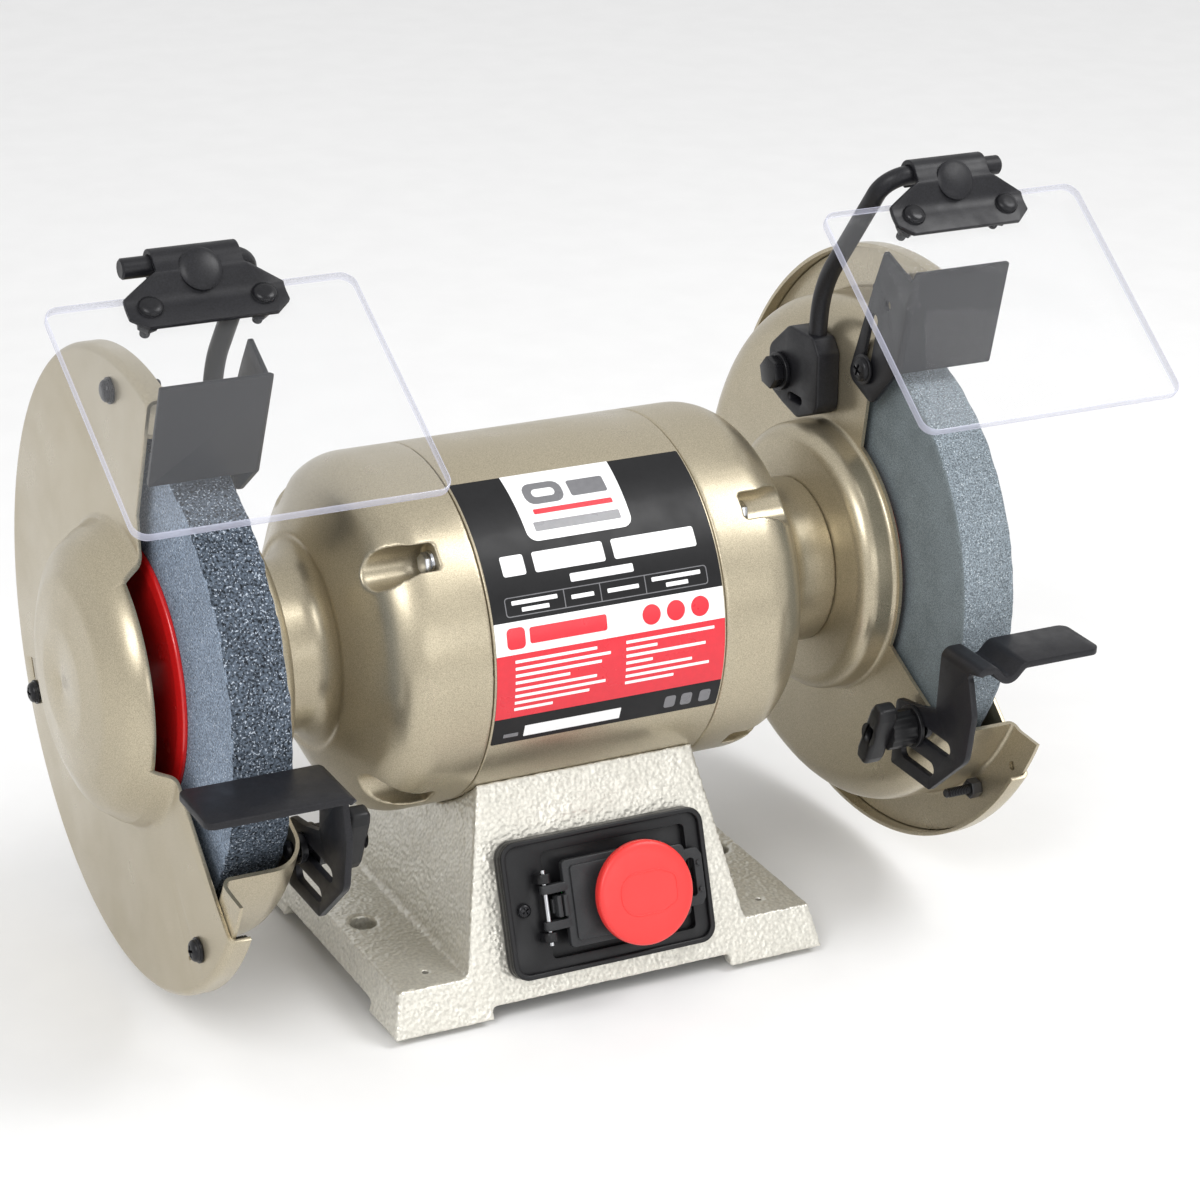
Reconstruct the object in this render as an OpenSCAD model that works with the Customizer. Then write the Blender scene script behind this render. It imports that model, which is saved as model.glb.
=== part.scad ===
// Bench grinder with two 200 mm wheels, pedestal motor base, wheel guards, tool rests, spark
// arrestors and clear eye shields. Millimetres. X runs along the shaft, -Y is the front, Z is up.
// The origin is on the bench, below the middle of the shaft.

/* [Motor] */
// Height of the shaft above the bench
shaft_z = 142; // [135:1:160]
// Outer radius of the motor shell
motor_r = 73.8; // [72:0.1:76]
// Half length of the rolled motor shell
shell_half = 52; // [45:1:56]
// Outer radius of the necks that carry the guards
neck_r = 35.5; // [34:0.5:38]
// Distance from the middle to the end of each neck
neck_end = 127; // [124:0.5:128]

/* [Wheels] */
// Outside diameter of the grinding wheels
wheel_d = 200; // [150:1:200]
// Width of the grinding wheels
wheel_w = 25; // [19:1:26]
// Distance from the middle to the middle of each wheel
wheel_x = 160; // [158:0.5:161]
// Radius of the painted flange discs
flange_r = 55; // [40:1:60]

/* [Guards] */
// Motor side face of the inner guard
guard_x = 142.2; // [142:0.1:143]
// Outer face of the outer cover
cover_x = 179.6; // [178:0.1:182]
// Radius of the outer cover
cover_r = 129.6; // [126:0.2:132]
// Radius of the wall of the inner guard
wall_r = 110.5; // [109:0.5:112]
// Thickness of the guard sheet
sheet = 1.5; // [1.2:0.1:2]
// Radius and height of the boss on the outer cover
dome_r = 62; // [60:0.5:64]
dome_h = 24; // [20:0.5:26]
// Radius of the circle that the cover screws lie on
cover_screw_r = 116; // [115:0.5:118]

/* [Base] */
// Half width of the base on the bench and at the top of the flange
base_half = 99.2; // [95:0.5:105]
flange_half = 94.9; // [92:0.5:98]
// Height of the base flange above its pads
flange_h = 18.3; // [16:0.5:20]
// Front edge and back edge of the base
base_front = -89.7; // [-95:0.5:-85]
base_back = 54; // [50:0.5:60]
// Half width of the pedestal at the flange and at the motor
pedestal_low = 64.3; // [62:0.5:68]
pedestal_high = 50; // [48:0.5:54]
// Height of the rubber feet below the pads
foot_h = 3; // [2:0.5:5]
// Bench bolt holes: half spacing, distance behind the shaft, radius
bench_x = 84; // [80:0.5:86]
bench_y = -23.5; // [-30:0.5:-15]
bench_hole_r = 5.5; // [4:0.5:6]

/* [Tool rests] */
// Thickness of the rest plate
rest_t = 3; // [2.5:0.5:4]
// Height of the rest bolts below the shaft, and their place in front of it
rest_bolt_drop = 43; // [42:0.5:46]
rest_bolt_y = -88; // [-90:0.5:-86]

/* [Eye shields] */
// Width, height and thickness of each shield
shield_w = 121; // [100:1:126]
shield_h = 106; // [90:1:110]
shield_t = 3.5; // [3:0.5:4]
// Height of the shield rod above the shaft and its place in front of it
rod_up = 175; // [170:1:180]
rod_y = -33; // [-36:0.5:-30]
// Radius of the rod
rod_r = 4; // [3.5:0.5:4]

/* [Hidden] */
$fn = 96;

// Sides: -1 is left, 1 is right
SIDES = [-1, 1];

// Colours
c_paint = [0.72, 0.68, 0.56];
c_cast = [0.74, 0.72, 0.66];
c_black = [0.09, 0.09, 0.10];
c_steel = [0.62, 0.63, 0.65];
c_red = [0.75, 0.05, 0.05];
c_copper = [0.72, 0.40, 0.20];
c_rubber = [0.05, 0.05, 0.05];
c_stone = [0.36, 0.42, 0.47];

// Derived places
pad_z = foot_h;
flange_z = pad_z + flange_h;
wheel_r = wheel_d / 2;
gap = 0.1;
core_r = 70.2;
core_half = 30;
air_r = 38;
bolt_r = 66.5;
shaft_r = 10;
seat_r = 8.5;
end_r = 7.9;
bearing_r = 20;
bearing_w = 12;
bearing_x = 101;
shaft_end = 187;
boss_r = 58;
boss_x = neck_end + sheet;
face_slope = atan(0.385);
switch_z = 40 + pad_z;
switch_y = base_front + 0.385 * 40;
spark_bolt = [-24.5, 91.6];
arm_bolt = [25.6, 75.6];
leg_x = 136;
table_x = 196;
table_back = -102.5;

// A round arc as a list of points
function arc(c, r, a0, a1, n = 12) =
    [for (i = [0:n]) let (a = a0 + (a1 - a0) * i / n) [c[0] + r * cos(a), c[1] + r * sin(a)]];

// Puts its children on the left or the right
module on_side(s) mirror([s < 0 ? 1 : 0, 0, 0]) children();

// A body of revolution about the shaft: the outline is [distance from the middle, radius]
module turned(outline)
    translate([0, 0, shaft_z]) rotate([0, 90, 0])
        rotate_extrude() polygon([for (p = outline) [p[1], p[0]]]);

// A disc or ring about a line parallel to the shaft, from x0 with length l
module ring_at(x0, l, r_out, r_in = 0, y = 0, z = 0)
    translate([x0, y, shaft_z + z]) rotate([0, 90, 0]) difference() {
        cylinder(r = r_out, h = l);
        if (r_in > 0) translate([0, 0, -1]) cylinder(r = r_in, h = l + 2);
    }

// An outline given as [y, height over the shaft], extruded along X
module plate_yz(x0, t) translate([x0, 0, shaft_z]) rotate([90, 0, 90]) linear_extrude(t) children();

// An outline given as [x, z], extruded towards the front from y1
module plate_xz(y1, t) translate([0, y1, 0]) rotate([90, 0, 0]) linear_extrude(t) children();

// A slot with round ends between two points
module slot_2d(a, b, r) {
    d = b - a;
    translate(a) circle(r);
    translate(b) circle(r);
    translate(a) rotate(atan2(d[1], d[0])) translate([0, -r]) square([norm(d), 2 * r]);
}

// A pan head screw along +X from x0, the head outside
module screw_x(x0, l, r, head_r, head_h) {
    translate([x0, 0, 0]) rotate([0, 90, 0]) cylinder(r = r, h = l);
    translate([x0 + l, 0, 0]) rotate([0, 90, 0]) cylinder(r = head_r, h = head_h);
}

// A hexagon nut or head along +X
module hex_x(x0, t, across, hole_r = 0) translate([x0, 0, 0]) rotate([0, 90, 0]) difference() {
    cylinder(r = across / sqrt(3), h = t, $fn = 6);
    if (hole_r > 0) translate([0, 0, -1]) cylinder(r = hole_r, h = t + 2, $fn = 48);
}

// The local frame of the switch: X stays, Y runs up the front face, Z points out of it
module on_front() translate([0, switch_y, switch_z]) rotate([90 - face_slope, 0, 0]) children();

// ---- Base ----

// Side outline of the casting as [y, z]
module base_side(inset = 0, top = 100)
    polygon([[base_front + inset + 0.385 * (-20), pad_z - 20],
        [base_front + inset + 0.385 * top, pad_z + top],
        [44 - inset, pad_z + top], [49 - inset, pad_z + flange_h],
        [base_back - inset, pad_z + flange_h - 6], [base_back - inset, pad_z - 20]]);

module base_outline() {
    polygon([[-base_half, pad_z], [-flange_half, flange_z], [-pedestal_low, flange_z],
        [-pedestal_high, pad_z + 86], [-pedestal_high + 2.5, pad_z + 100],
        [pedestal_high - 2.5, pad_z + 100], [pedestal_high, pad_z + 86], [pedestal_low, flange_z],
        [flange_half, flange_z], [base_half, pad_z]]);
}

// Screw bosses that stay solid inside the casting
module base_bosses() {
    for (x = [-bench_x, bench_x]) translate([x, bench_y, pad_z]) cylinder(r = 10, h = flange_h - 0.5);
    for (x = [-77.7, 77.7], y = [-70.6, 34]) translate([x, y, pad_z]) cylinder(r = 10, h = flange_h - 0.5);
}

module base_cavity() difference() {
    union() {
        intersection() {
            plate_xz(100, 250) polygon([[-92, pad_z - 1], [-90, flange_z - 6], [-60, flange_z - 6],
                [60, flange_z - 6], [90, flange_z - 6], [92, pad_z - 1]]);
            translate([-100, 0, 0]) rotate([90, 0, 90]) linear_extrude(200) base_side(6);
        }
        intersection() {
            plate_xz(100, 250) polygon([[-59.5, flange_z - 7], [-45, pad_z + 92],
                [45, pad_z + 92], [59.5, flange_z - 7]]);
            translate([-100, 0, 0]) rotate([90, 0, 90]) linear_extrude(200) base_side(6, 92);
        }
    }
    base_bosses();
    translate([-100, -100, 0]) cube([44, 38, 30]);
    translate([56, -100, 0]) cube([44, 38, 30]);
    translate([-100, 24, 0]) cube([44, 38, 30]);
    translate([56, 24, 0]) cube([44, 38, 30]);
    ring_at(-60, 120, motor_r + 6);
}

module base_casting() color(c_cast) difference() {
    intersection() {
        plate_xz(100, 250) base_outline();
        translate([-101, 0, 0]) rotate([90, 0, 90]) linear_extrude(202) base_side();
    }
    base_cavity();
    ring_at(-70, 140, motor_r);
    // Steps between the four pads
    translate([-110, -62, pad_z - 1]) cube([220, 86, 6]);
    translate([-55, -110, pad_z - 1]) cube([110, 200, 6]);
    // Bench bolt holes and foot screw holes
    for (x = [-bench_x, bench_x]) translate([x, bench_y, -1]) cylinder(r = bench_hole_r, h = 40);
    for (x = [-77.7, 77.7], y = [-70.6, 34]) {
        translate([x, y, -1]) cylinder(r = 2.1, h = 40);
        translate([x, y, flange_z - 3]) cylinder(r = 4.2, h = 10);
    }
    // Window for the switch, and hole for the cord inlet
    on_front() translate([-30, -19, -12]) cube([60, 38, 20]);
    on_front() for (u = switch_screw_u) translate([u, 0, -12]) cylinder(r = 1.6, h = 20);
    translate([0, 70, pad_z + 34]) rotate([90, 0, 0]) cylinder(r = 8, h = 40);
    // Way for the wires into the motor
    translate([0, 0, pad_z + 50]) cylinder(r = 12, h = 60);
}

module bottom_plate() color(c_steel) translate([-54.5, -61, pad_z + 5.1]) difference() {
    cube([109, 84, 1.5]);
    for (x = [8, 101], y = [8, 76]) translate([x, y, -1]) cylinder(r = 2, h = 4);
}

module rubber_feet() color(c_rubber) for (x = [-77.7, 77.7], y = [-70.6, 34])
    translate([x, y, 0]) difference() {
        rotate_extrude() polygon([[0, 0], [8.6, 0], [9.4, 0.8], [9.8, foot_h], [0, foot_h]]);
        translate([0, 0, 1.2]) cylinder(r = 1.9, h = 10);
    }

module foot_screws() color(c_steel) for (x = [-77.7, 77.7], y = [-70.6, 34]) translate([x, y, 1.3]) {
    cylinder(r = 1.8, h = flange_z - 3);
    translate([0, 0, flange_z - 4.2]) cylinder(r = 3.6, h = 2.2);
}

module cable_gland() color(c_rubber) translate([0, 41, pad_z + 34]) rotate([-90, 0, 0]) difference() {
    union() {
        cylinder(r = 7.8, h = 14);
        translate([0, 0, 8]) cylinder(r = 10.5, h = 9);
    }
    translate([0, 0, -1]) cylinder(r = 4, h = 30);
}

module capacitor() color(c_steel) translate([-38, 16, pad_z + 23]) rotate([0, 90, 0]) {
    cylinder(r = 14, h = 72);
    translate([0, 0, 72]) cylinder(r = 11, h = 3);
}

// ---- Motor ----

module motor_shell() color(c_paint) difference() {
    turned([[-shell_half, motor_r], [shell_half, motor_r], [shell_half, core_r + gap],
        [-shell_half, core_r + gap]]);
    translate([0, 0, pad_z + 50]) cylinder(r = 12, h = 40);
}

module stator_core() color(c_steel) difference() {
    turned([[-core_half, core_r], [core_half, core_r], [core_half, air_r], [-core_half, air_r]]);
    for (a = [45:90:315]) ring_at(-40, 80, 4, 0, bolt_r * cos(a), bolt_r * sin(a));
    for (a = [0:15:345]) ring_at(-40, 80, 3, 0, 47 * cos(a), 47 * sin(a));
}

module stator_windings() color(c_copper) for (s = SIDES) on_side(s)
    turned(concat(arc([core_half + 9, 50], 9, 180, 0), [[core_half + 14, 42]],
        [[core_half + 0.1, 42]]));

// Outline of the outside of a bell, from the shell to the end of the neck
function bell_out() = concat([[shell_half, motor_r]], arc([74, motor_r - 22], 22, 90, 30),
    [[103.5, 44.6]], arc([112.5, 45.5], 10, 200, 270, 6), [[neck_end, neck_r]]);
function bell_in() = [[neck_end, 12], [bearing_x + bearing_w + 2, 12],
    [bearing_x + bearing_w + 2, bearing_r - 4], [bearing_x + bearing_w, bearing_r - 4],
    [bearing_x + bearing_w, bearing_r], [bearing_x, bearing_r], [bearing_x - 4, bearing_r + 0.2],
    [94, 30], [88, 52], [80, 62], [72, core_r - 3], [shell_half, core_r - 3]];

module end_bell(s) color(c_paint) on_side(s) difference() {
    turned(concat(bell_out(), bell_in()));
    for (a = [45:90:315]) {
        ring_at(40, 80, 2.6, 0, bolt_r * cos(a), bolt_r * sin(a));
        // Scooped pocket for the head of the through bolt
        ring_at(68, 40, 8, 0, (bolt_r + 1) * cos(a), (bolt_r + 1) * sin(a));
    }
    // Blind threads for the guard screws
    for (a = [0:120:240]) ring_at(neck_end - 12, 20, 2.1, 0, 27 * cos(a + 90), 27 * sin(a + 90));
}
module end_bell_left() end_bell(-1);
module end_bell_right() end_bell(1);

module housing_bolts() color(c_steel) for (a = [45:90:315])
    translate([0, bolt_r * cos(a), shaft_z + bolt_r * sin(a)]) {
        rotate([0, 90, 0]) translate([0, 0, -70]) cylinder(r = 2.5, h = 140);
        for (s = SIDES) on_side(s) hex_x(68.05, 4, 8);
    }

// The label wraps the front of the shell between two angles from the front, up and down
label_up = 69;
label_down = 20;
module label_plate() color(c_black) intersection() {
    turned([[-50.3, motor_r + 0.02], [50.3, motor_r + 0.02], [50.3, motor_r + 0.4],
        [-50.3, motor_r + 0.4]]);
    plate_yz(-60, 120) polygon([[0, 0],
        [-150, -150 * tan(label_down)], [-150, 200], [-150 / tan(label_up), 150]]);
}

module bearing_outer_rings() color(c_steel) for (s = SIDES) on_side(s)
    turned([[bearing_x + 0.05, bearing_r - 0.02], [bearing_x + bearing_w - 0.05, bearing_r - 0.02],
        [bearing_x + bearing_w - 0.05, 16.6], [bearing_x + 0.05, 16.6]]);

// ---- Guards ----

// Region cut away at the front of a guard, as [y, height over the shaft]
module mouth(edge_y, top_y, boss, a0, a1, low) polygon(concat(
    [[edge_y, 160], [edge_y, 117], [top_y, 95]], arc([0, 0], boss, a0, a1, 20), low,
    [[-170, low[len(low) - 1][1]], [-170, 160]]));

function guard_out() = concat([[neck_end + 0.05, 13], [neck_end + 0.05, boss_r - 14]],
    arc([guard_x - 8, boss_r - 8], 8, 155, 90, 6),
    [[guard_x, boss_r]], arc([guard_x + 14, wall_r - 14], 14, 180, 90),
    [[cover_x - 2 * sheet - 0.2, wall_r], [cover_x - 2 * sheet - 0.2, 127.6],
    [cover_x - sheet - 0.2, 127.6], [cover_x - sheet - 0.2, wall_r - sheet]]);
function guard_in() = concat(arc([guard_x + 14, wall_r - 14], 14 - sheet, 90, 180),
    [[guard_x + sheet, boss_r + 1], [guard_x + sheet - 1, boss_r - 1]],
    [[boss_x + 4, boss_r - 12], [boss_x + 0.05, boss_r - 15], [boss_x + 0.05, 13]]);

module inner_guard(s) color(c_paint) on_side(s) difference() {
    turned(concat(guard_out(), guard_in()));
    plate_yz(100, 100) mouth(-26, -26, boss_r + 2.5, 112, 200, [[-74, -29], [-92, -37], [-104, -45],
        [-150, -47]]);
    for (a = [0:120:240]) ring_at(100, 60, 2.6, 0, 27 * cos(a + 90), 27 * sin(a + 90));
    for (a = COVER_ANGLES) ring_at(160, 40, 2.4, 0, cover_screw_r * cos(a), cover_screw_r * sin(a));
    ring_at(100, 60, 3.1, 0, rest_bolt_y, -rest_bolt_drop);
    ring_at(100, 60, 2.6, 0, spark_bolt[0], spark_bolt[1]);
    ring_at(100, 60, 4.1, 0, arm_bolt[0], arm_bolt[1]);
}
module inner_guard_left() inner_guard(-1);
module inner_guard_right() inner_guard(1);

// Angles of the cover screws from the back, over the top
COVER_ANGLES = [88.5, 225, 333];

module outer_cover(s) color(c_paint) on_side(s) difference() {
    union() {
        turned([[cover_x - sheet, cover_r], [cover_x, cover_r], [cover_x, dome_r - 8],
            [cover_x - sheet, dome_r - 8]]);
        turned([[cover_x - 9, cover_r], [cover_x, cover_r], [cover_x, cover_r - sheet],
            [cover_x - 9, cover_r - sheet]]);
        turned([[cover_x - sheet, dome_r], [cover_x, dome_r], [cover_x + 7, dome_r - 4],
            [cover_x + 16, dome_r - 9], [cover_x + 22, dome_r - 20], [cover_x + dome_h, dome_r - 38],
            [cover_x + dome_h, 0], [cover_x + dome_h - sheet, 0],
            [cover_x + dome_h - sheet, dome_r - 39], [cover_x + 20.8, dome_r - 21],
            [cover_x + 15, dome_r - 10.4], [cover_x + 6, dome_r - 5.4],
            [cover_x - sheet, dome_r - 2]]);
    }
    translate([0, 0, shaft_z]) rotate([0, 90, 0]) translate([0, 0, cover_x - sheet - 1])
        cylinder(r1 = dome_r - 2.4, r2 = dome_r - 3.2, h = 3);
    plate_yz(160, cover_x - 160 + 0.01) mouth(-31, -28, dome_r + 0.3, 107, 211, [[-91, -52],
        [-108, -61], [-150, -83]]);
    for (a = COVER_ANGLES) {
        ring_at(160, 40, 2.4, 0, cover_screw_r * cos(a), cover_screw_r * sin(a));
        plate_yz(160, 40) slot_2d(cover_screw_r * [cos(a + 3), sin(a + 3)],
            cover_screw_r * [cos(a + 7), sin(a + 7)], 0.8);
    }
}
module outer_cover_left() outer_cover(-1);
module outer_cover_right() outer_cover(1);

module cover_screws() color(c_black) for (s = SIDES, a = COVER_ANGLES) on_side(s)
    translate([0, cover_screw_r * cos(a), shaft_z + cover_screw_r * sin(a)]) {
        screw_x(161, cover_x - 161 + 1.3, 2.1, 4.4, 2.6);
        translate([cover_x + 0.05, 0, 0]) rotate([0, 90, 0]) cylinder(r = 5.2, h = 1.2);
    }

module cover_nuts() color(c_black) for (s = SIDES, a = COVER_ANGLES) on_side(s)
    translate([0, cover_screw_r * cos(a), shaft_z + cover_screw_r * sin(a)])
        hex_x(cover_x - 2 * sheet - 0.3 - 5, 5, 7.5, 2.15);

module guard_screws() color(c_steel) for (s = SIDES, a = [0:120:240]) on_side(s)
    translate([0, 27 * cos(a + 90), shaft_z + 27 * sin(a + 90)])
        screw_x(neck_end - 10, 10 + sheet + 0.15, 2, 4.4, 2.8);

// ---- Bolts that stand in the guards ----

module arm_bolts() color(c_black) for (s = SIDES) on_side(s)
    translate([0, arm_bolt[0], shaft_z + arm_bolt[1]]) {
        rotate([0, 90, 0]) translate([0, 0, 128.5]) cylinder(r = 4, h = guard_x + 3.4 - 128.5);
        hex_x(124, 4.6, 12);
        hex_x(guard_x + sheet + 0.05, 2.6, 11);
    }

module spark_bolts() color(c_black) for (s = SIDES) on_side(s)
    translate([0, spark_bolt[0], shaft_z + spark_bolt[1]]) {
        rotate([0, 90, 0]) translate([0, 0, 138]) cylinder(r = 2.5, h = guard_x + 3 - 138);
        rotate([0, 90, 0]) translate([0, 0, 136]) cylinder(r = 5, h = 2.1);
        rotate([0, 90, 0]) translate([0, 0, 138.3]) cylinder(r = 6.5, h = 1.2);
        hex_x(guard_x + sheet + 0.05, 2.4, 8);
    }

module rest_bolts() color(c_black) for (s = SIDES) on_side(s)
    translate([0, rest_bolt_y, shaft_z - rest_bolt_drop]) {
        rotate([0, 90, 0]) translate([0, 0, 118]) cylinder(r = 3, h = guard_x + sheet + 1.6 - 118);
        rotate([0, 90, 0]) translate([0, 0, guard_x + sheet + 1.3]) cylinder(r = 4, h = 1.6);
        rotate([0, 90, 0]) translate([0, 0, leg_x + rest_t + 0.1]) cylinder(r = 6, h = 2.9);
    }

// ---- Rotor ----

module shaft() color(c_steel) turned([[-shaft_end, 0], [-shaft_end, end_r - 1], [-shaft_end + 1, end_r],
        [-neck_end - 12, end_r], [-neck_end - 12, seat_r], [-bearing_x + 3, seat_r],
        [-bearing_x + 3, shaft_r], [bearing_x - 3, shaft_r], [bearing_x - 3, seat_r],
        [neck_end + 12, seat_r], [neck_end + 12, end_r], [shaft_end - 1, end_r],
        [shaft_end, end_r - 1], [shaft_end, 0]]);

module rotor_core() color(c_steel) difference() {
    union() {
        turned([[-core_half, air_r - 0.5], [core_half, air_r - 0.5], [core_half, shaft_r + 0.02],
            [-core_half, shaft_r + 0.02]]);
        for (s = SIDES) on_side(s)
            turned([[core_half, air_r - 2], [core_half + 6, air_r - 2], [core_half + 6, 22],
                [core_half, 22]]);
    }
    for (a = [0:20:340]) ring_at(-60, 120, 2, 0, 33 * cos(a), 33 * sin(a));
}

module bearing_inner_rings() color(c_steel) for (s = SIDES) on_side(s)
    turned([[bearing_x + 0.05, 12], [bearing_x + bearing_w - 0.05, 12],
        [bearing_x + bearing_w - 0.05, seat_r + 0.02], [bearing_x + 0.05, seat_r + 0.02]]);

module bearing_balls() color(c_steel) for (s = SIDES, a = [0:45:315]) on_side(s)
    translate([bearing_x + bearing_w / 2, 14.25 * cos(a), shaft_z + 14.25 * sin(a)])
        sphere(r = 2.22, $fn = 32);

module wheel(s) color(c_stone) on_side(s)
    turned([[wheel_x - wheel_w / 2, wheel_r - 1.5], [wheel_x - wheel_w / 2 + 1.5, wheel_r],
        [wheel_x + wheel_w / 2 - 1.5, wheel_r], [wheel_x + wheel_w / 2, wheel_r - 1.5],
        [wheel_x + wheel_w / 2, 16], [wheel_x - wheel_w / 2, 16]]);
module wheel_left() wheel(-1);
module wheel_right() wheel(1);

module wheel_bushes() color("white") for (s = SIDES) on_side(s)
    turned([[wheel_x - wheel_w / 2 + 0.2, 15.98], [wheel_x + wheel_w / 2 - 0.2, 15.98],
        [wheel_x + wheel_w / 2 - 0.2, end_r + 0.02], [wheel_x - wheel_w / 2 + 0.2, end_r + 0.02]]);

// Dished flange: a rim on the wheel, a hollow face and a hub
module inner_flanges() color(c_red) for (s = SIDES) on_side(s)
    turned([[wheel_x - wheel_w / 2 - 0.05, flange_r], [wheel_x - wheel_w / 2 - 2, flange_r],
        [wheel_x - wheel_w / 2 - 2.5, flange_r - 4], [wheel_x - wheel_w / 2 - 2.5, 22],
        [neck_end + 13, 16], [neck_end + 12.1, 12], [neck_end + 12.1, end_r + 0.02],
        [wheel_x - wheel_w / 2 - 0.05, end_r + 0.02]]);

module outer_flanges() color(c_red) for (s = SIDES) on_side(s)
    turned([[wheel_x + wheel_w / 2 + 0.05, flange_r], [wheel_x + wheel_w / 2 + 2, flange_r],
        [wheel_x + wheel_w / 2 + 3, flange_r - 4], [wheel_x + wheel_w / 2 + 3, 22],
        [wheel_x + wheel_w / 2 + 4, end_r + 0.02], [wheel_x + wheel_w / 2 + 0.05, end_r + 0.02]]);

module shaft_nuts() color(c_steel) for (s = SIDES) on_side(s) translate([0, 0, shaft_z])
    hex_x(wheel_x + wheel_w / 2 + 4.1, 9, 24, end_r + 0.02);

// ---- Tool rests ----

// Leg outline as [y, height over the shaft]: table at the top, foot with two slots below
module leg_2d() difference() {
    polygon([[table_back, -1], [table_back, -29], [-90, -33], [-74, -36], [-74, -66], [-103, -66],
        [-126, -43], [-128, -38], [-128, -14], [-125, -1]]);
    slot_2d([-81, -rest_bolt_drop], [-112, -rest_bolt_drop], 3.15);
    slot_2d([-84, -rest_bolt_drop - 13.5], [-102, -rest_bolt_drop - 13.5], 3.15);
}

module tool_rest(s, depth, notch) color(c_black) on_side(s) difference() {
    union() {
        plate_yz(leg_x, rest_t) leg_2d();
        translate([leg_x, table_back - depth, shaft_z - 1 - rest_t + 0.01])
            cube([table_x - leg_x, depth, rest_t]);
    }
    if (notch) translate([leg_x + 16, table_back - depth / 2, shaft_z - 1.1]) rotate([90, 45, 0])
        cube([2, 2, depth + 2], center = true);
}
module tool_rest_left() tool_rest(-1, 30, false);
module tool_rest_right() tool_rest(1, 26, true);

// Knob with two wings on the rest bolt
module rest_knob(s) color(c_black) on_side(s)
    translate([0, rest_bolt_y, shaft_z - rest_bolt_drop]) difference() {
        union() {
            rotate([0, 90, 0]) translate([0, 0, 122]) cylinder(r = 8, h = leg_x - 122 - 1);
            rotate([0, 90, 0]) translate([0, 0, leg_x - 1.9]) cylinder(r = 9, h = 1.8);
            rotate([20, 0, 0]) translate([114, -4.5, -15]) cube([9, 9, 30]);
        }
        rotate([0, 90, 0]) translate([0, 0, 117.5]) cylinder(r = 3.05, h = 40);
    }
module rest_knob_left() rest_knob(-1);
module rest_knob_right() rest_knob(1);

// ---- Spark arrestors ----

// Local frame of an arrestor: [back, up] from the lower edge of the front plate
function spark_origin(lean, q) = [spark_bolt[0] - 22.4 * cos(lean) + q * sin(lean),
    spark_bolt[1] - 22.4 * sin(lean) - q * cos(lean)];

module spark_arrestor(s, lean, q) color(c_black) on_side(s)
    translate([0, spark_origin(lean, q)[0], shaft_z + spark_origin(lean, q)[1]]) rotate([lean, 0, 0]) {
        translate([140, 0, 0]) rotate([90, 0, 90]) linear_extrude(2) difference() {
            polygon([[0, 0], [0, 40], [23.7, 44.4], [26.3, 31.8], [33.8, -17], [13.9, -21]]);
            slot_2d([22.4, -13], [22.4, 13.6], 2.65);
            translate([14.9, 24]) circle(2);
        }
        translate([140, 0, 0]) cube([45, 2, 45]);
    }
module spark_arrestor_left() spark_arrestor(-1, 19, -13);
module spark_arrestor_right() spark_arrestor(1, 9, -8.5);

// ---- Eye shields ----

// A straight piece of rod between two points, with radius r
module rod_piece(a, b, r) {
    d = b - a;
    translate(a) rotate([0, acos(d[2] / norm(d)), atan2(d[1], d[0])])
        cylinder(r = r, h = norm(d));
}

module shield_arm(s, x_end) color(c_black) on_side(s) translate([0, 0, shaft_z]) difference() {
    union() {
        // Clamp block on the guard
        translate([131, 0, 0]) rotate([90, 0, 90]) linear_extrude(11) polygon([[-2, 91],
            [-4, 66], [11.7, 59], [24, 62], [36, 66], [37, 84], [22.5, 97], [3, 97]]);
        rod_piece([136.5, 8, 90], [136.5, 7, 120], rod_r - 0.2);
        translate([131.8, 7, 119]) rotate([0, 90, 0]) cylinder(r = rod_r + 0.5, h = 9.4);
        rod_piece([136.5, 7, 119], [139, rod_y, rod_up], rod_r - 0.3);
        translate([134.6, rod_y, rod_up]) rotate([0, 90, 0]) cylinder(r = rod_r, h = x_end - 134.6);
    }
    translate([120, arm_bolt[0], arm_bolt[1]]) rotate([0, 90, 0]) cylinder(r = 4.05, h = 30);
    translate([120, 0, 0]) rotate([90, 0, 90]) linear_extrude(30)
        polygon(concat(arc([10, 67], 1.6, 90, 270, 8), arc([17, 67], 1.6, -90, 90, 8)));
}
module shield_arm_left() shield_arm(-1, 188);
module shield_arm_right() shield_arm(1, 190);

// Frame of a shield on its rod: X stays, Y runs down the shield from the rod, Z is out of it
module on_rod(s, tilt, x) on_side(s) translate([x, rod_y, shaft_z + rod_up])
    rotate([180 + tilt, 0, 0]) mirror([0, 0, 1]) children();

shield_below = 5.4;
edge_from_rod = 10.5;
screw_from_rod = 18.5;
clamp_t = 2;

module shield_clamp(s, tilt, x) color(c_black) on_rod(s, tilt, x) difference() {
    union() {
        // Rolled sleeve around the rod
        translate([-17, 0, 0]) rotate([0, 90, 0]) cylinder(r = 6.4, h = 34);
        // Plate from the sleeve over the edge of the shield
        translate([0, 0, -shield_below + shield_t / 2 + 0.02]) linear_extrude(clamp_t)
            polygon([[-17, 0], [17, 0], [17, 8], [31, 14], [31, 22], [25, 27], [-25, 27],
                [-31, 22], [-31, 14], [-17, 8]]);
        // Carriage bolt that pinches the sleeve
        translate([0, 6.5, -3.6]) cylinder(r = 7, h = 10.1);
    }
    translate([-20, 0, 0]) rotate([0, 90, 0]) cylinder(r = rod_r + 0.05, h = 40);
    for (u = [-22, 22]) translate([u, screw_from_rod, -10]) cylinder(r = 2.2, h = 20);
}
module shield_clamp_left() shield_clamp(-1, 30, 160);
module shield_clamp_right() shield_clamp(1, 36, 164);

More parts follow.
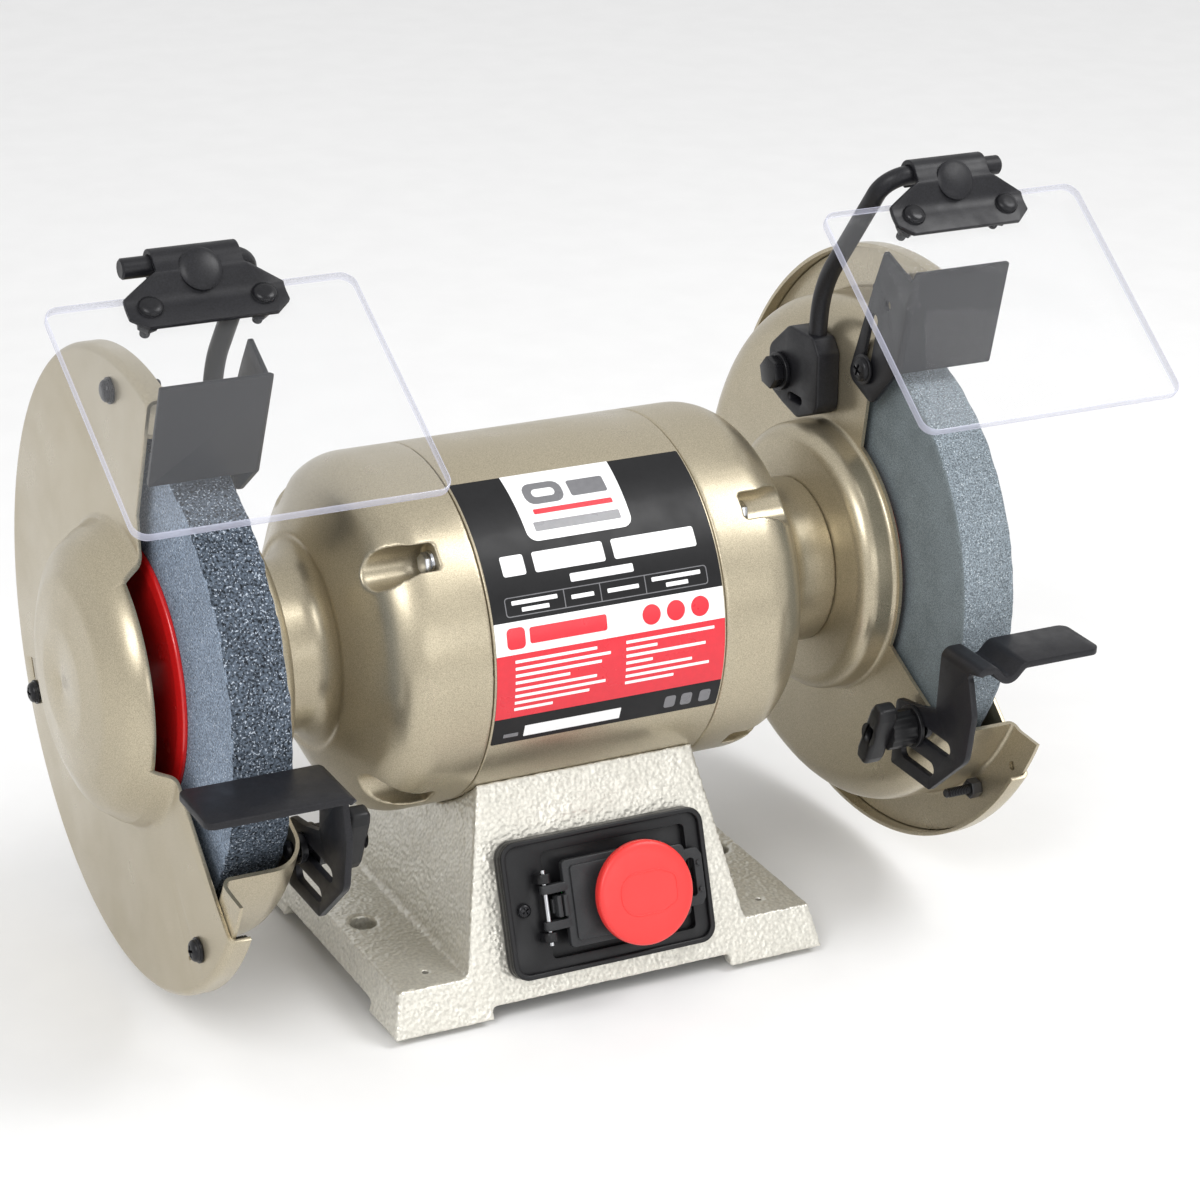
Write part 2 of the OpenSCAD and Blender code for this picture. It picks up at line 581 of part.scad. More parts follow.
// Clear plate with round corners and two screw holes
module eye_shield(s, tilt, x) color([0.85, 0.9, 0.92, 0.35]) on_rod(s, tilt, x)
    translate([0, edge_from_rod, -shield_below - shield_t / 2]) linear_extrude(shield_t) difference() {
        polygon(concat(arc([shield_w / 2 - 6, shield_h - 6], 6, 0, 90, 6),
            arc([-shield_w / 2 + 6, shield_h - 6], 6, 90, 180, 6),
            arc([-shield_w / 2 + 6, 6], 6, 180, 270, 6), arc([shield_w / 2 - 6, 6], 6, 270, 360, 6)));
        for (u = [-22, 22]) translate([u, screw_from_rod - edge_from_rod]) circle(2.2);
    }
module eye_shield_left() eye_shield(-1, 30, 160);
module eye_shield_right() eye_shield(1, 36, 164);

module shield_screws(s, tilt, x) color(c_black) on_rod(s, tilt, x)
    for (u = [-22, 22]) translate([u, screw_from_rod, -shield_below]) {
        translate([0, 0, shield_t / 2 + clamp_t + 0.05]) cylinder(r = 4.2, h = 2.6);
        translate([0, 0, -shield_t / 2 - 6]) cylinder(r = 2, h = shield_t + clamp_t + 6.2);
        translate([0, 0, -shield_t / 2 - 4.2]) cylinder(r = 7 / sqrt(3), h = 4.1, $fn = 6);
    }
module shield_screws_left() shield_screws(-1, 30, 160);
module shield_screws_right() shield_screws(1, 36, 164);

// ---- Switch ----

switch_w = 93;
switch_h = 57;
box_t = 7;
switch_screw_u = [-38.5, 41.5];
recess_w = 74;
recess_h = 44;
flap_t = 3;
hinge_u = -30;
hinge_n = 9.6;
start_u = -15;
button_r = 6.5;
paddle_u = 9;
paddle_r = 22.5;

module switch_box() color(c_black) on_front() difference() {
    union() {
        translate([-switch_w / 2, -switch_h / 2, 0.05]) cube([switch_w, switch_h, box_t]);
        // Hinge ears
        for (v = [-14, 10]) translate([hinge_u - 3, v, box_t - 1]) cube([6, 4, 5.6]);
    }
    translate([-28, -recess_h / 2, 2]) cube([recess_w - 8, recess_h, 10]);
    // Holes for the buttons
    for (u = [start_u, paddle_u]) translate([u, 0, -5]) cylinder(r = button_r + 0.3, h = 20);
    for (v = [-14, 10]) translate([hinge_u, v - 1, hinge_n]) rotate([-90, 0, 0])
        cylinder(r = 1.05, h = 6);
    for (u = switch_screw_u) translate([u, 0, -5]) cylinder(r = 1.6, h = 20);
}

module switch_body() color([0.15, 0.15, 0.16]) on_front() difference() {
    translate([-27, -17, -24]) cube([54, 34, 24]);
    for (u = [start_u, paddle_u]) translate([u, 0, -9]) cylinder(r = button_r + 0.1, h = 20);
}

module switch_screws() color(c_steel) on_front()
    for (u = switch_screw_u) translate([u, 0, 0]) {
        translate([0, 0, -8]) cylinder(r = 1.5, h = box_t + 8.1);
        translate([0, 0, box_t + 0.1]) cylinder(r = 2.9, h = 1.8);
    }

module flap_pin() color(c_steel) on_front() translate([hinge_u, -15.5, hinge_n]) rotate([-90, 0, 0])
    cylinder(r = 1, h = 31);

module switch_flap() color([0.13, 0.13, 0.14]) on_front() difference() {
    union() {
        translate([hinge_u + 4, -17, box_t + 1.2]) cube([61, 34, flap_t]);
        translate([hinge_u, -9.6, hinge_n]) rotate([-90, 0, 0]) cylinder(r = 2.2, h = 19.2);
        translate([hinge_u, -9.6, box_t + 1.2]) cube([6, 19.2, 2.2]);
        // Collar around the paddle
        translate([paddle_u, 0, box_t + 1.2]) cylinder(r = 17, h = 7);
    }
    translate([hinge_u, -20, hinge_n]) rotate([-90, 0, 0]) cylinder(r = 1.05, h = 40);
    translate([paddle_u, 0, 0]) cylinder(r = 9.1, h = 40);
    translate([paddle_u, 0, box_t + 3.6]) cylinder(r = 15.5, h = 10);
}

module stop_paddle() color(c_red) on_front() translate([paddle_u, 0, 0]) {
    translate([0, 0, box_t + 12.2]) rotate_extrude() polygon([[0, 0], [paddle_r, 0],
        [paddle_r, 3.4], [paddle_r - 1, 4.8], [paddle_r - 3, 5.4], [0, 5.8]]);
    translate([0, 0, box_t + 1]) cylinder(r = 9, h = 11.4);
    translate([0, 0, 4.7]) cylinder(r = 5, h = 4);
}

module start_button() color("green") on_front() translate([start_u, 0, -4])
    cylinder(r = button_r, h = box_t + 3);

module stop_button() color(c_red) on_front() translate([paddle_u, 0, -4])
    cylinder(r = button_r, h = 8.4);

base_casting();
bottom_plate();
rubber_feet();
foot_screws();
motor_shell();
stator_core();
stator_windings();
end_bell_left();
end_bell_right();
housing_bolts();
label_plate();
capacitor();
cable_gland();
bearing_outer_rings();
inner_guard_left();
inner_guard_right();
outer_cover_left();
outer_cover_right();
cover_screws();
cover_nuts();
guard_screws();
arm_bolts();
spark_bolts();
rest_bolts();
switch_box();
switch_body();
switch_screws();
flap_pin();
shaft();
rotor_core();
bearing_inner_rings();
bearing_balls();
wheel_left();
wheel_right();
wheel_bushes();
inner_flanges();
outer_flanges();
shaft_nuts();
tool_rest_left();
tool_rest_right();
rest_knob_left();
rest_knob_right();
spark_arrestor_left();
spark_arrestor_right();
shield_arm_left();
shield_arm_right();
shield_clamp_left();
shield_clamp_right();
eye_shield_left();
eye_shield_right();
shield_screws_left();
shield_screws_right();
switch_flap();
stop_paddle();
start_button();
stop_button();
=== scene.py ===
import math

import bmesh
import bpy
from mathutils import Matrix, Vector, noise


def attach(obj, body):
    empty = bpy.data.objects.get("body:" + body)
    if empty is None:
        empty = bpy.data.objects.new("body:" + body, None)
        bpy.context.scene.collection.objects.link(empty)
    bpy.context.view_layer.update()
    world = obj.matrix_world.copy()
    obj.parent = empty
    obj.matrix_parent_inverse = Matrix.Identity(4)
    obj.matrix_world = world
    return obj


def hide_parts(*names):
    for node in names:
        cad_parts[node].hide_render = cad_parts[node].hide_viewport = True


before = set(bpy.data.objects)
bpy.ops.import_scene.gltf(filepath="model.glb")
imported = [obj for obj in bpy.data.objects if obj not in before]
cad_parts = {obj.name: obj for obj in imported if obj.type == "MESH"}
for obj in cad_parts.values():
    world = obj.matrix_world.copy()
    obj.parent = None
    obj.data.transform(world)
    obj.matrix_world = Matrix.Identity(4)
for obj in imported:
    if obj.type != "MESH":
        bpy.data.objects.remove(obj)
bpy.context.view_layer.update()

# Lengths are in millimetres until a mesh is made, and in metres from there on.
MM = 0.001
SHAFT = 142.0
MOTOR_R = 73.8
GUARD_X = 142.2
COVER_X = 179.6
SHEET = 1.5
ARM_BOLT = (25.6, 75.6)
SPARK_BOLT = (-24.5, 91.6)
REST_BOLT = (-88.0, -43.0)
COVER_ANGLES = (88.5, 225.0, 333.0)
COVER_SCREW_R = 116.0
HOUSING_ANGLES = (45, 135, 225, 315)
HOUSING_BOLT_R = 66.5
WHEEL_IN, WHEEL_OUT, WHEEL_R = 147.5, 172.5, 100.0
FEET = [(x, y) for x in (-77.7, 77.7) for y in (-70.6, 34.0)]
SIDES = (("left", -1), ("right", 1))

# Local X, Y, Z become [back, up, right]; ALONG_X has them from the middle of the shaft
HALF_TURN = Matrix.Rotation(math.pi, 4, "X")
BACK_UP_RIGHT = Matrix(((0, 0, 1, 0), (1, 0, 0, 0), (0, 1, 0, 0), (0, 0, 0, 1)))
ALONG_X = Matrix.Translation((0, 0, SHAFT)) @ BACK_UP_RIGHT


# ---- Outlines ----

def on_circle(radius, degrees):
    a = math.radians(degrees)
    return radius * math.cos(a), radius * math.sin(a)


def arc(centre, radius, start, end, steps=12):
    points = [on_circle(radius, start + (end - start) * i / steps) for i in range(steps + 1)]
    return [(centre[0] + p[0], centre[1] + p[1]) for p in points]


def rounded(points, radii, closed=True, steps=6):
    """The same line with its corners rounded. radii is one radius, or one for each point."""
    out = []
    count = len(points)
    for i, point in enumerate(points):
        radius = radii[i] if isinstance(radii, (list, tuple)) else radii
        p = Vector(point)
        if radius <= 0 or (not closed and i in (0, count - 1)):
            out.append(p)
            continue
        before = Vector(points[i - 1]) - p
        after = Vector(points[(i + 1) % count]) - p
        corner = before.angle(after)
        if corner > math.radians(177):
            out.append(p)
            continue
        reach = min(radius / math.tan(corner / 2), 0.48 * before.length, 0.48 * after.length)
        radius = reach * math.tan(corner / 2)
        u, v = before.normalized(), after.normalized()
        centre = p + (u + v).normalized() * (radius / math.sin(corner / 2))
        turn = math.pi - corner
        a, b = p + u * reach - centre, p + v * reach - centre
        for k in range(steps + 1):
            w = k / steps
            out.append(centre + (a * math.sin((1 - w) * turn) + b * math.sin(w * turn)) / math.sin(turn))
    clean = [out[0]]
    for p in out[1:]:
        if (p - clean[-1]).length > 1e-3:
            clean.append(p)
    if closed and (clean[0] - clean[-1]).length < 1e-3:
        clean.pop()
    return [tuple(p) for p in clean]


def circle(radius, centre=(0, 0), steps=32):
    return arc(centre, radius, 0, 360 - 360 / steps, steps - 1)


def rectangle(x0, x1, y0, y1, radius=0.0, steps=6):
    return rounded([(x0, y0), (x1, y0), (x1, y1), (x0, y1)], radius, steps=steps)


def mirrored(half, radii):
    """Half an outline and its mirror image over local X, with rounded corners."""
    return rounded(half + [(x, -y) for x, y in half[::-1]], radii + radii[::-1])


def slot_outline(a, b, radius):
    heading = math.degrees(math.atan2(b[1] - a[1], b[0] - a[0]))
    return arc(a, radius, heading + 90, heading + 270, 8) + arc(b, radius, heading - 90, heading + 90, 8)


def normals(line, closed):
    """The left normal at each point of a line, lengthened at corners so that an offset keeps its width."""
    out = []
    count = len(line)
    for i in range(count):
        p = Vector(line[i])
        sides = []
        if closed or i > 0:
            sides.append((p - Vector(line[i - 1])).normalized())
        if closed or i < count - 1:
            sides.append((Vector(line[(i + 1) % count]) - p).normalized())
        lefts = [Vector((-d[1], d[0])) for d in sides]
        m = sum(lefts, Vector((0, 0))).normalized()
        out.append(m / max(m.dot(lefts[0]), 0.4))
    return out


def moved(line, distance, closed=True):
    """The line moved to its left by a distance."""
    return [(p[0] + n[0] * distance, p[1] + n[1] * distance)
            for p, n in zip(line, normals(line, closed))]


def sheet_loop(path, thickness):
    """A closed outline of a sheet whose left face is the path."""
    return list(path) + moved(path, -thickness, closed=False)[::-1]


def counter_clockwise(loop):
    area = sum(a[0] * b[1] - b[0] * a[1] for a, b in zip(loop, loop[1:] + loop[:1]))
    return loop if area > 0 else loop[::-1]


# ---- Meshes ----

def put(name, data):
    """A new object in the scene."""
    ob = bpy.data.objects.new(name, data)
    bpy.context.scene.collection.objects.link(ob)
    return ob


def to_object(name, bm, place=None):
    if place is not None:
        bm.transform(place)
    bmesh.ops.recalc_face_normals(bm, faces=bm.faces)
    bm.transform(Matrix.Scale(MM, 4))
    mesh = bpy.data.meshes.new(name)
    bm.to_mesh(mesh)
    bm.free()
    return put(name, mesh)


def turned(name, loop, place=ALONG_X, steps=96):
    """A body of revolution about local Z. The loop is [along the axis, radius], and is closed."""
    bm = bmesh.new()
    rings = []
    for i in range(steps):
        c, s = on_circle(1.0, 360 * i / steps)
        rings.append([bm.verts.new((r * c, r * s, z)) for z, r in loop])
    for i in range(steps):
        a, b = rings[i], rings[(i + 1) % steps]
        for k in range(len(loop)):
            n = (k + 1) % len(loop)
            bm.faces.new((a[k], b[k], b[n], a[n]))
    bmesh.ops.remove_doubles(bm, verts=bm.verts, dist=1e-4)
    bmesh.ops.dissolve_degenerate(bm, edges=bm.edges, dist=1e-4)
    return to_object(name, bm, place)


def disc(name, radius, low, high, place, edge=0.0, bore=0.0, steps=40):
    """A round plate, bar or ring on local Z."""
    loop = [(low, bore), (low, radius), (high, radius), (high, bore)]
    return turned(name, rounded(loop, edge if bore else [0, edge, edge, 0]), place, steps)


def slab_mesh(outline, low, high, holes=(), edge=0.4, edge_steps=2):
    """A plate with rounded edges: the outline in local XY, from local Z low to high."""
    bm = bmesh.new()
    steps = [90 * k / edge_steps for k in range(edge_steps + 1)]
    levels = [(edge * (1 - math.sin(math.radians(a))), low + edge * (1 - math.cos(math.radians(a))))
              for a in steps]
    levels += [(d, high - (z - low)) for d, z in levels[::-1]]
    if edge <= 0:
        levels = [(0, low), (0, high)]
    caps = ([], [])
    for loop, sign in [(outline, 1)] + [(h, -1) for h in holes]:
        loop = counter_clockwise(list(loop))
        rings = []
        for inwards, z in levels:
            line = moved(loop, inwards * sign) if inwards else loop
            rings.append([bm.verts.new((x, y, z)) for x, y in line])
        for a, b in zip(rings, rings[1:]):
            for k in range(len(loop)):
                n = (k + 1) % len(loop)
                bm.faces.new((a[k], a[n], b[n], b[k]))
        for cap, ring in ((caps[0], rings[0]), (caps[1], rings[-1])):
            cap += [bm.edges.get((ring[k], ring[(k + 1) % len(ring)])) for k in range(len(ring))]
    for cap in caps:
        bmesh.ops.triangle_fill(bm, use_beauty=True, use_dissolve=False, edges=cap)
    return bm


def slab(name, outline, low, high, place=None, **more):
    return to_object(name, slab_mesh(outline, low, high, **more), place)


def follow(path):
    """Returns the length of a path and a function from (way along it, distance to its left) to a point."""
    points = [Vector(p) for p in path]
    lefts = normals(path, closed=False)
    ways = [0.0]
    for a, b in zip(points, points[1:]):
        ways.append(ways[-1] + (b - a).length)

    def at(way, left):
        i = max(k for k in range(len(ways) - 1) if ways[k] <= way + 1e-6 or k == 0)
        w = (way - ways[i]) / (ways[i + 1] - ways[i])
        return points[i].lerp(points[i + 1], w) + lefts[i].lerp(lefts[i + 1], w) * left

    return ways, at


def creased(bm, ways):
    """Cuts the faces across local X at each way, so that they can bend there."""
    for way in ways:
        geometry = list(bm.verts) + list(bm.edges) + list(bm.faces)
        bmesh.ops.bisect_plane(bm, geom=geometry, dist=1e-5, plane_co=(way, 0, 0), plane_no=(1, 0, 0))


def bent(name, outline, path, thickness, to_space, holes=(), edge=0.4, place=None, low=None):
    """A flat blank bent along a path. The outline is [way along the path, across]. The blank lies to the
    right of the path, or from low upwards on its left. to_space turns (path point, across) into local
    X, Y, Z."""
    ways, at = follow(path)
    first = -thickness if low is None else low
    bm = slab_mesh(outline, first, first + thickness, holes=holes, edge=edge)
    creased(bm, ways[1:-1])
    for v in bm.verts:
        p = at(v.co.x, v.co.z)
        v.co = to_space(p, v.co.y)
    return to_object(name, bm, place)


def tube(name, points, radius, steps=24, chamfer=0.7):
    """A round bar along a line of 3-D points, with chamfered ends."""
    line = [Vector(p) for p in points]
    first, last = (line[1] - line[0]).normalized(), (line[-1] - line[-2]).normalized()
    line = [line[0], line[0] + first * chamfer] + line[1:-1] + [line[-1] - last * chamfer, line[-1]]
    radii = [radius - chamfer] + [radius] * (len(line) - 2) + [radius - chamfer]
    bm = bmesh.new()
    side = first.orthogonal().normalized()
    rings = []
    for i, (p, r) in enumerate(zip(line, radii)):
        ahead = (line[min(i + 1, len(line) - 1)] - line[max(i - 1, 0)]).normalized()
        side = (side - ahead * side.dot(ahead)).normalized()
        other = ahead.cross(side)
        ring = []
        for k in range(steps):
            c, s = on_circle(r, 360 * k / steps)
            ring.append(bm.verts.new(p + side * c + other * s))
        rings.append(ring)
    for a, b in zip(rings, rings[1:]):
        for k in range(steps):
            n = (k + 1) % steps
            bm.faces.new((a[k], a[n], b[n], b[k]))
    bm.faces.new(rings[0])
    bm.faces.new(rings[-1])
    return to_object(name, bm)


def applied(ob):
    """The object with its modifiers made part of its mesh."""
    graph = bpy.context.evaluated_depsgraph_get()
    mesh = bpy.data.meshes.new_from_object(ob.evaluated_get(graph))
    ob.modifiers.clear()
    old = ob.data
    ob.data = mesh
    bpy.data.meshes.remove(old)
    return ob


def boolean(ob, other):
    """The object with the other one cut out of it."""
    m = ob.modifiers.new("boolean", "BOOLEAN")
    m.operation = "DIFFERENCE"
    m.solver = "EXACT"
    m.object = other
    applied(ob)
    bpy.data.objects.remove(other)
    return ob


def bevelled(ob, width):
    """The object with its sharp edges broken."""
    m = ob.modifiers.new("bevel", "BEVEL")
    m.width = width * MM
    m.segments = 2
    m.limit_method = "ANGLE"
    m.angle_limit = math.radians(50)
    m.use_clamp_overlap = True
    return applied(ob)


def softened(ob, voxel):
    """A cast or moulded skin: the same form with its edges rounded over about two voxels."""
    m = ob.modifiers.new("remesh", "REMESH")
    m.mode = "VOXEL"
    m.voxel_size = voxel * MM
    m = ob.modifiers.new("smooth", "SMOOTH")
    m.factor = 0.5
    m.iterations = 4
    return applied(ob)


def displaced(ob, height):
    """Each vertex moved along its normal by height(point), in millimetres."""
    normals_now = [v.normal.copy() for v in ob.data.vertices]
    for v, n in zip(ob.data.vertices, normals_now):
        v.co += n * height(v.co) * MM
    return ob


def joined(name, parts):
    """Several meshes as one object."""
    bm = bmesh.new()
    materials = []
    for part in parts:
        for m in part.data.materials:
            if m not in materials:
                materials.append(m)
    for part in parts:
        start = len(bm.faces)
        bm.from_mesh(part.data)
        bm.faces.ensure_lookup_table()
        if part.data.materials:
            index = [materials.index(m) for m in part.data.materials]
            for face in bm.faces[start:]:
                face.material_index = index[min(face.material_index, len(index) - 1)]
        bpy.data.objects.remove(part)
    mesh = bpy.data.meshes.new(name)
    bm.to_mesh(mesh)
    bm.free()
    for m in materials:
        mesh.materials.append(m)
    return put(name, mesh)


def sided(ob, side):
    """Pieces are made for the right; the left takes their mirror image."""
    if side < 0:
        ob.data.transform(Matrix.Scale(-1, 4, (1, 0, 0)))
        ob.data.flip_normals()
    return ob


def painted(ob, *materials):
    ob.data.materials.clear()
    for m in materials:
        ob.data.materials.append(m)
    return ob


def piece(ob, body, node, material=None, sharp=38):
    """Puts a finished piece on its body, in the place of its CAD node."""
    if material is not None:
        painted(ob, material)
    for polygon in ob.data.polygons:
        polygon.use_smooth = True
    ob.data.set_sharp_from_angle(angle=math.radians(sharp))
    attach(ob, body)
    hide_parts(node)


def at_point(x, y, rel, turn=0.0):
    """Local Z along the shaft, from a point given as [x, y, height over the shaft]."""
    return (Matrix.Translation((x, y, SHAFT + rel)) @ Matrix.Rotation(math.radians(90), 4, "Y")
            @ Matrix.Rotation(math.radians(turn), 4, "Z"))


# ---- Materials ----

def finish_of(name, colour, roughness, metallic=0.0, coat=0.0, specular=0.5, grain=900.0, grain_amount=0.1,
              cloud=25.0, cloud_amount=0.08, rough_amount=0.08, bump=0.00002, bump_scale=1500.0,
              bump_kind="noise", wear=None, speck=None, stretch=None):
    """A painted, moulded or ground surface with grain, slow variation of tone and gloss, and relief."""
    m = bpy.data.materials.new(name)
    m.use_nodes = True
    nodes, links = m.node_tree.nodes, m.node_tree.links
    shader = nodes["Principled BSDF"]
    shader.inputs["Metallic"].default_value = metallic
    shader.inputs["Coat Weight"].default_value = coat
    shader.inputs["Coat Roughness"].default_value = 0.12
    shader.inputs["Specular IOR Level"].default_value = specular
    place = nodes.new("ShaderNodeTexCoord").outputs["Object"]
    if stretch is not None:
        mapping = nodes.new("ShaderNodeMapping")
        mapping.inputs["Scale"].default_value = stretch
        links.new(place, mapping.inputs["Vector"])
        place = mapping.outputs["Vector"]

    def noise_node(scale, detail=3.0):
        n = nodes.new("ShaderNodeTexNoise")
        n.inputs["Scale"].default_value = scale
        n.inputs["Detail"].default_value = detail
        links.new(place, n.inputs["Vector"])
        return n.outputs["Fac"]

    def mixed(fac, a, b, kind="MIX"):
        n = nodes.new("ShaderNodeMix")
        n.data_type = "RGBA"
        n.blend_type = kind
        links.new(fac, n.inputs["Factor"])
        for socket, value in ((n.inputs["A"], a), (n.inputs["B"], b)):
            if isinstance(value, tuple):
                socket.default_value = (*value, 1)
            else:
                links.new(value, socket)
        return n.outputs["Result"]

    def ranged(value, low, high, to_low, to_high):
        n = nodes.new("ShaderNodeMapRange")
        ends = {"From Min": low, "From Max": high, "To Min": to_low, "To Max": to_high}
        for socket, number in ends.items():
            n.inputs[socket].default_value = number
        links.new(value, n.inputs["Value"])
        return n.outputs["Result"]

    dark = tuple(c * (1 - grain_amount) for c in colour)
    light = tuple(min(1, c * (1 + grain_amount)) for c in colour)
    tone = mixed(ranged(noise_node(grain), 0.35, 0.65, 0, 1), dark, light)
    shade = tuple(1 - cloud_amount for _ in colour)
    tone = mixed(ranged(noise_node(cloud), 0.3, 0.7, 0, 1), tone,
                 mixed(noise_node(cloud), tone, shade, "MULTIPLY"))
    if speck is not None:
        scale, low, speck_colour = speck
        tone = mixed(ranged(noise_node(scale, 1.0), low, low + 0.04, 0, 1), tone, speck_colour)
    if wear is not None:
        edge, wear_colour = wear
        point = nodes.new("ShaderNodeNewGeometry").outputs["Pointiness"]
        tone = mixed(ranged(point, edge, edge + 0.07, 0, 0.7), tone, wear_colour)
    links.new(tone, shader.inputs["Base Color"])
    links.new(ranged(noise_node(cloud * 3), 0.3, 0.7, roughness - rough_amount, roughness + rough_amount),
              shader.inputs["Roughness"])
    if bump_kind == "voronoi":
        n = nodes.new("ShaderNodeTexVoronoi")
        n.feature = "SMOOTH_F1"
        n.inputs["Scale"].default_value = bump_scale
        links.new(place, n.inputs["Vector"])
        height = n.outputs["Distance"]
    else:
        height = noise_node(bump_scale)
    relief = nodes.new("ShaderNodeBump")
    relief.inputs["Strength"].default_value = 1.0
    relief.inputs["Distance"].default_value = bump
    links.new(height, relief.inputs["Height"])
    links.new(relief.outputs["Normal"], shader.inputs["Normal"])
    return m


PAINT = finish_of("champagne_paint", (0.455, 0.4, 0.29), 0.34, metallic=0.78, coat=0.2, grain=2600,
                  grain_amount=0.2, cloud=14, cloud_amount=0.08, bump=0.000012, bump_scale=900)
CAST = finish_of("hammered_silver", (0.69, 0.67, 0.6), 0.36, metallic=0.6, coat=0.25, grain=700,
                 grain_amount=0.1, cloud=30, cloud_amount=0.05, bump=0.0004, bump_scale=620,
                 bump_kind="voronoi")
BLACK = finish_of("satin_black", (0.011, 0.011, 0.0135), 0.42, specular=0.3, grain=1500,
                  grain_amount=0.3, cloud=40, cloud_amount=0.25, bump=0.000006, bump_scale=1800,
                  wear=(0.57, (0.07, 0.07, 0.075)))
BLACK_BOLT = finish_of("black_oxide", (0.010, 0.010, 0.012), 0.3, metallic=0.2, specular=0.35,
                       grain=1800, grain_amount=0.3, bump=0.00001, bump_scale=2500,
                       wear=(0.55, (0.12, 0.12, 0.125)))
STONE_LEFT = finish_of("coarse_stone", (0.072, 0.09, 0.115), 0.9, specular=0.2, grain=1000,
                       grain_amount=0.85, cloud=120, cloud_amount=0.35, bump=0.0004, bump_scale=900,
                       speck=(1250, 0.63, (0.42, 0.47, 0.54)))
STONE_LEFT_SIDE = finish_of("coarse_stone_side", (0.2, 0.245, 0.31), 0.88, specular=0.2, grain=1300,
                            grain_amount=0.5, cloud=90, cloud_amount=0.2, bump=0.0002, bump_scale=1100,
                            speck=(1400, 0.66, (0.55, 0.6, 0.68)))
STONE_RIGHT = finish_of("fine_stone", (0.2, 0.235, 0.262), 0.9, specular=0.2, grain=1500,
                        grain_amount=0.5, cloud=150, cloud_amount=0.2, bump=0.0002, bump_scale=1400,
                        speck=(1700, 0.66, (0.55, 0.6, 0.64)))
STONE_RIGHT_SIDE = finish_of("fine_stone_side", (0.17, 0.2, 0.212), 0.9, specular=0.2, grain=2100,
                             grain_amount=0.3, cloud=70, cloud_amount=0.25, bump=0.0001, bump_scale=1700)
RED_PAINT = finish_of("gloss_red", (0.62, 0.012, 0.012), 0.22, coat=0.6, grain=800, grain_amount=0.06,
                      bump=0.000008, bump_scale=700)
PLASTIC = finish_of("switch_grey", (0.026, 0.027, 0.029), 0.46, specular=0.35, grain=2400,
                    grain_amount=0.15, cloud=60, cloud_amount=0.12, bump=0.000025, bump_scale=3200,
                    wear=(0.57, (0.07, 0.07, 0.072)))
PLASTIC_BLACK = finish_of("switch_black", (0.008, 0.008, 0.009), 0.4, specular=0.35, grain=2400,
                          grain_amount=0.15, bump=0.00002, bump_scale=3000)
STOP_RED = finish_of("stop_red", (0.79, 0.035, 0.032), 0.42, coat=0.1, grain=1800, grain_amount=0.05,
                     cloud=50, cloud_amount=0.06, bump=0.000015, bump_scale=2600)
START_GREEN = finish_of("start_green", (0.03, 0.36, 0.08), 0.4, coat=0.1, bump=0.000015, bump_scale=2600)
RUBBER = finish_of("rubber", (0.014, 0.014, 0.014), 0.7, grain=900, grain_amount=0.2, bump=0.00003)
STEEL = finish_of("turned_steel", (0.56, 0.57, 0.59), 0.26, metallic=1.0, grain=800, grain_amount=0.1,
                  bump=0.00001, bump_scale=900, stretch=(1, 0.12, 0.12))
LAMINATION = finish_of("laminations", (0.36, 0.37, 0.4), 0.4, metallic=0.9, grain=700, grain_amount=0.3,
                       bump=0.00008, bump_scale=700, stretch=(1, 0.02, 0.02))
COPPER = finish_of("copper_wire", (0.62, 0.27, 0.11), 0.3, metallic=0.9, coat=0.5, grain=600,
                   grain_amount=0.3, bump=0.0003, bump_scale=420, stretch=(1, 0.4, 0.4))
BUSH = finish_of("stone_bush", (0.8, 0.79, 0.75), 0.5, bump=0.00002)
CAN = finish_of("capacitor_can", (0.62, 0.63, 0.66), 0.3, metallic=1.0, bump=0.00001, stretch=(1, 0.1, 0.1))


def film(name, colour, roughness=0.3, coat=0.3, **more):
    """A printed colour of the label."""
    return finish_of(name, colour, roughness, coat=coat, grain=400, bump=0.000004, bump_scale=300, **more)


LABEL_BLACK = film("label_black", (0.007, 0.007, 0.008), 0.42, coat=0.05, specular=0.25, grain_amount=0.1)
LABEL_GREY = film("label_grey", (0.16, 0.16, 0.17), grain_amount=0.05)
LABEL_WHITE = film("label_white", (0.86, 0.86, 0.86), grain_amount=0.02, cloud_amount=0.02)
LABEL_RED = film("label_red", (0.68, 0.012, 0.028), grain_amount=0.03)


def clear(name, alpha, colour, roughness):
    """Clear sheet: mostly see-through, with gloss and faint smears. Its edge copy, with more alpha and a
    lavender-white tint, is painted light in place of the brightness and darkness that refraction gives a
    clear edge.
    """
    m = bpy.data.materials.new(name)
    m.use_nodes = True
    nodes, links = m.node_tree.nodes, m.node_tree.links
    shader = nodes["Principled BSDF"]
    shader.inputs["Alpha"].default_value = alpha
    shader.inputs["IOR"].default_value = 1.5
    smear = nodes.new("ShaderNodeTexNoise")
    smear.inputs["Scale"].default_value = 18
    smear.inputs["Detail"].default_value = 4
    links.new(nodes.new("ShaderNodeTexCoord").outputs["Object"], smear.inputs["Vector"])
    tint = nodes.new("ShaderNodeMix")
    tint.data_type = "RGBA"
    tint.inputs["A"].default_value = (*colour, 1)
    tint.inputs["B"].default_value = (*[c * 0.9 for c in colour], 1)
    links.new(smear.outputs["Fac"], tint.inputs["Factor"])
    links.new(tint.outputs["Result"], shader.inputs["Base Color"])
    gloss = nodes.new("ShaderNodeMapRange")
    gloss.inputs["To Min"].default_value = roughness
    gloss.inputs["To Max"].default_value = roughness + 0.05
    links.new(smear.outputs["Fac"], gloss.inputs["Value"])
    links.new(gloss.outputs["Result"], shader.inputs["Roughness"])
    return m


CLEAR = clear("clear_sheet", 0.05, (0.55, 0.56, 0.58), 0.03)
# Painted light: the edge faces are drawn more opaque and lavender-white, in place of the refraction along a
# clear sheet's edge
CLEAR_EDGE_PAINTED_LIGHT = clear("clear_edge_painted_light", 0.5, (0.58, 0.59, 0.72), 0.08)

# ---- Base ----

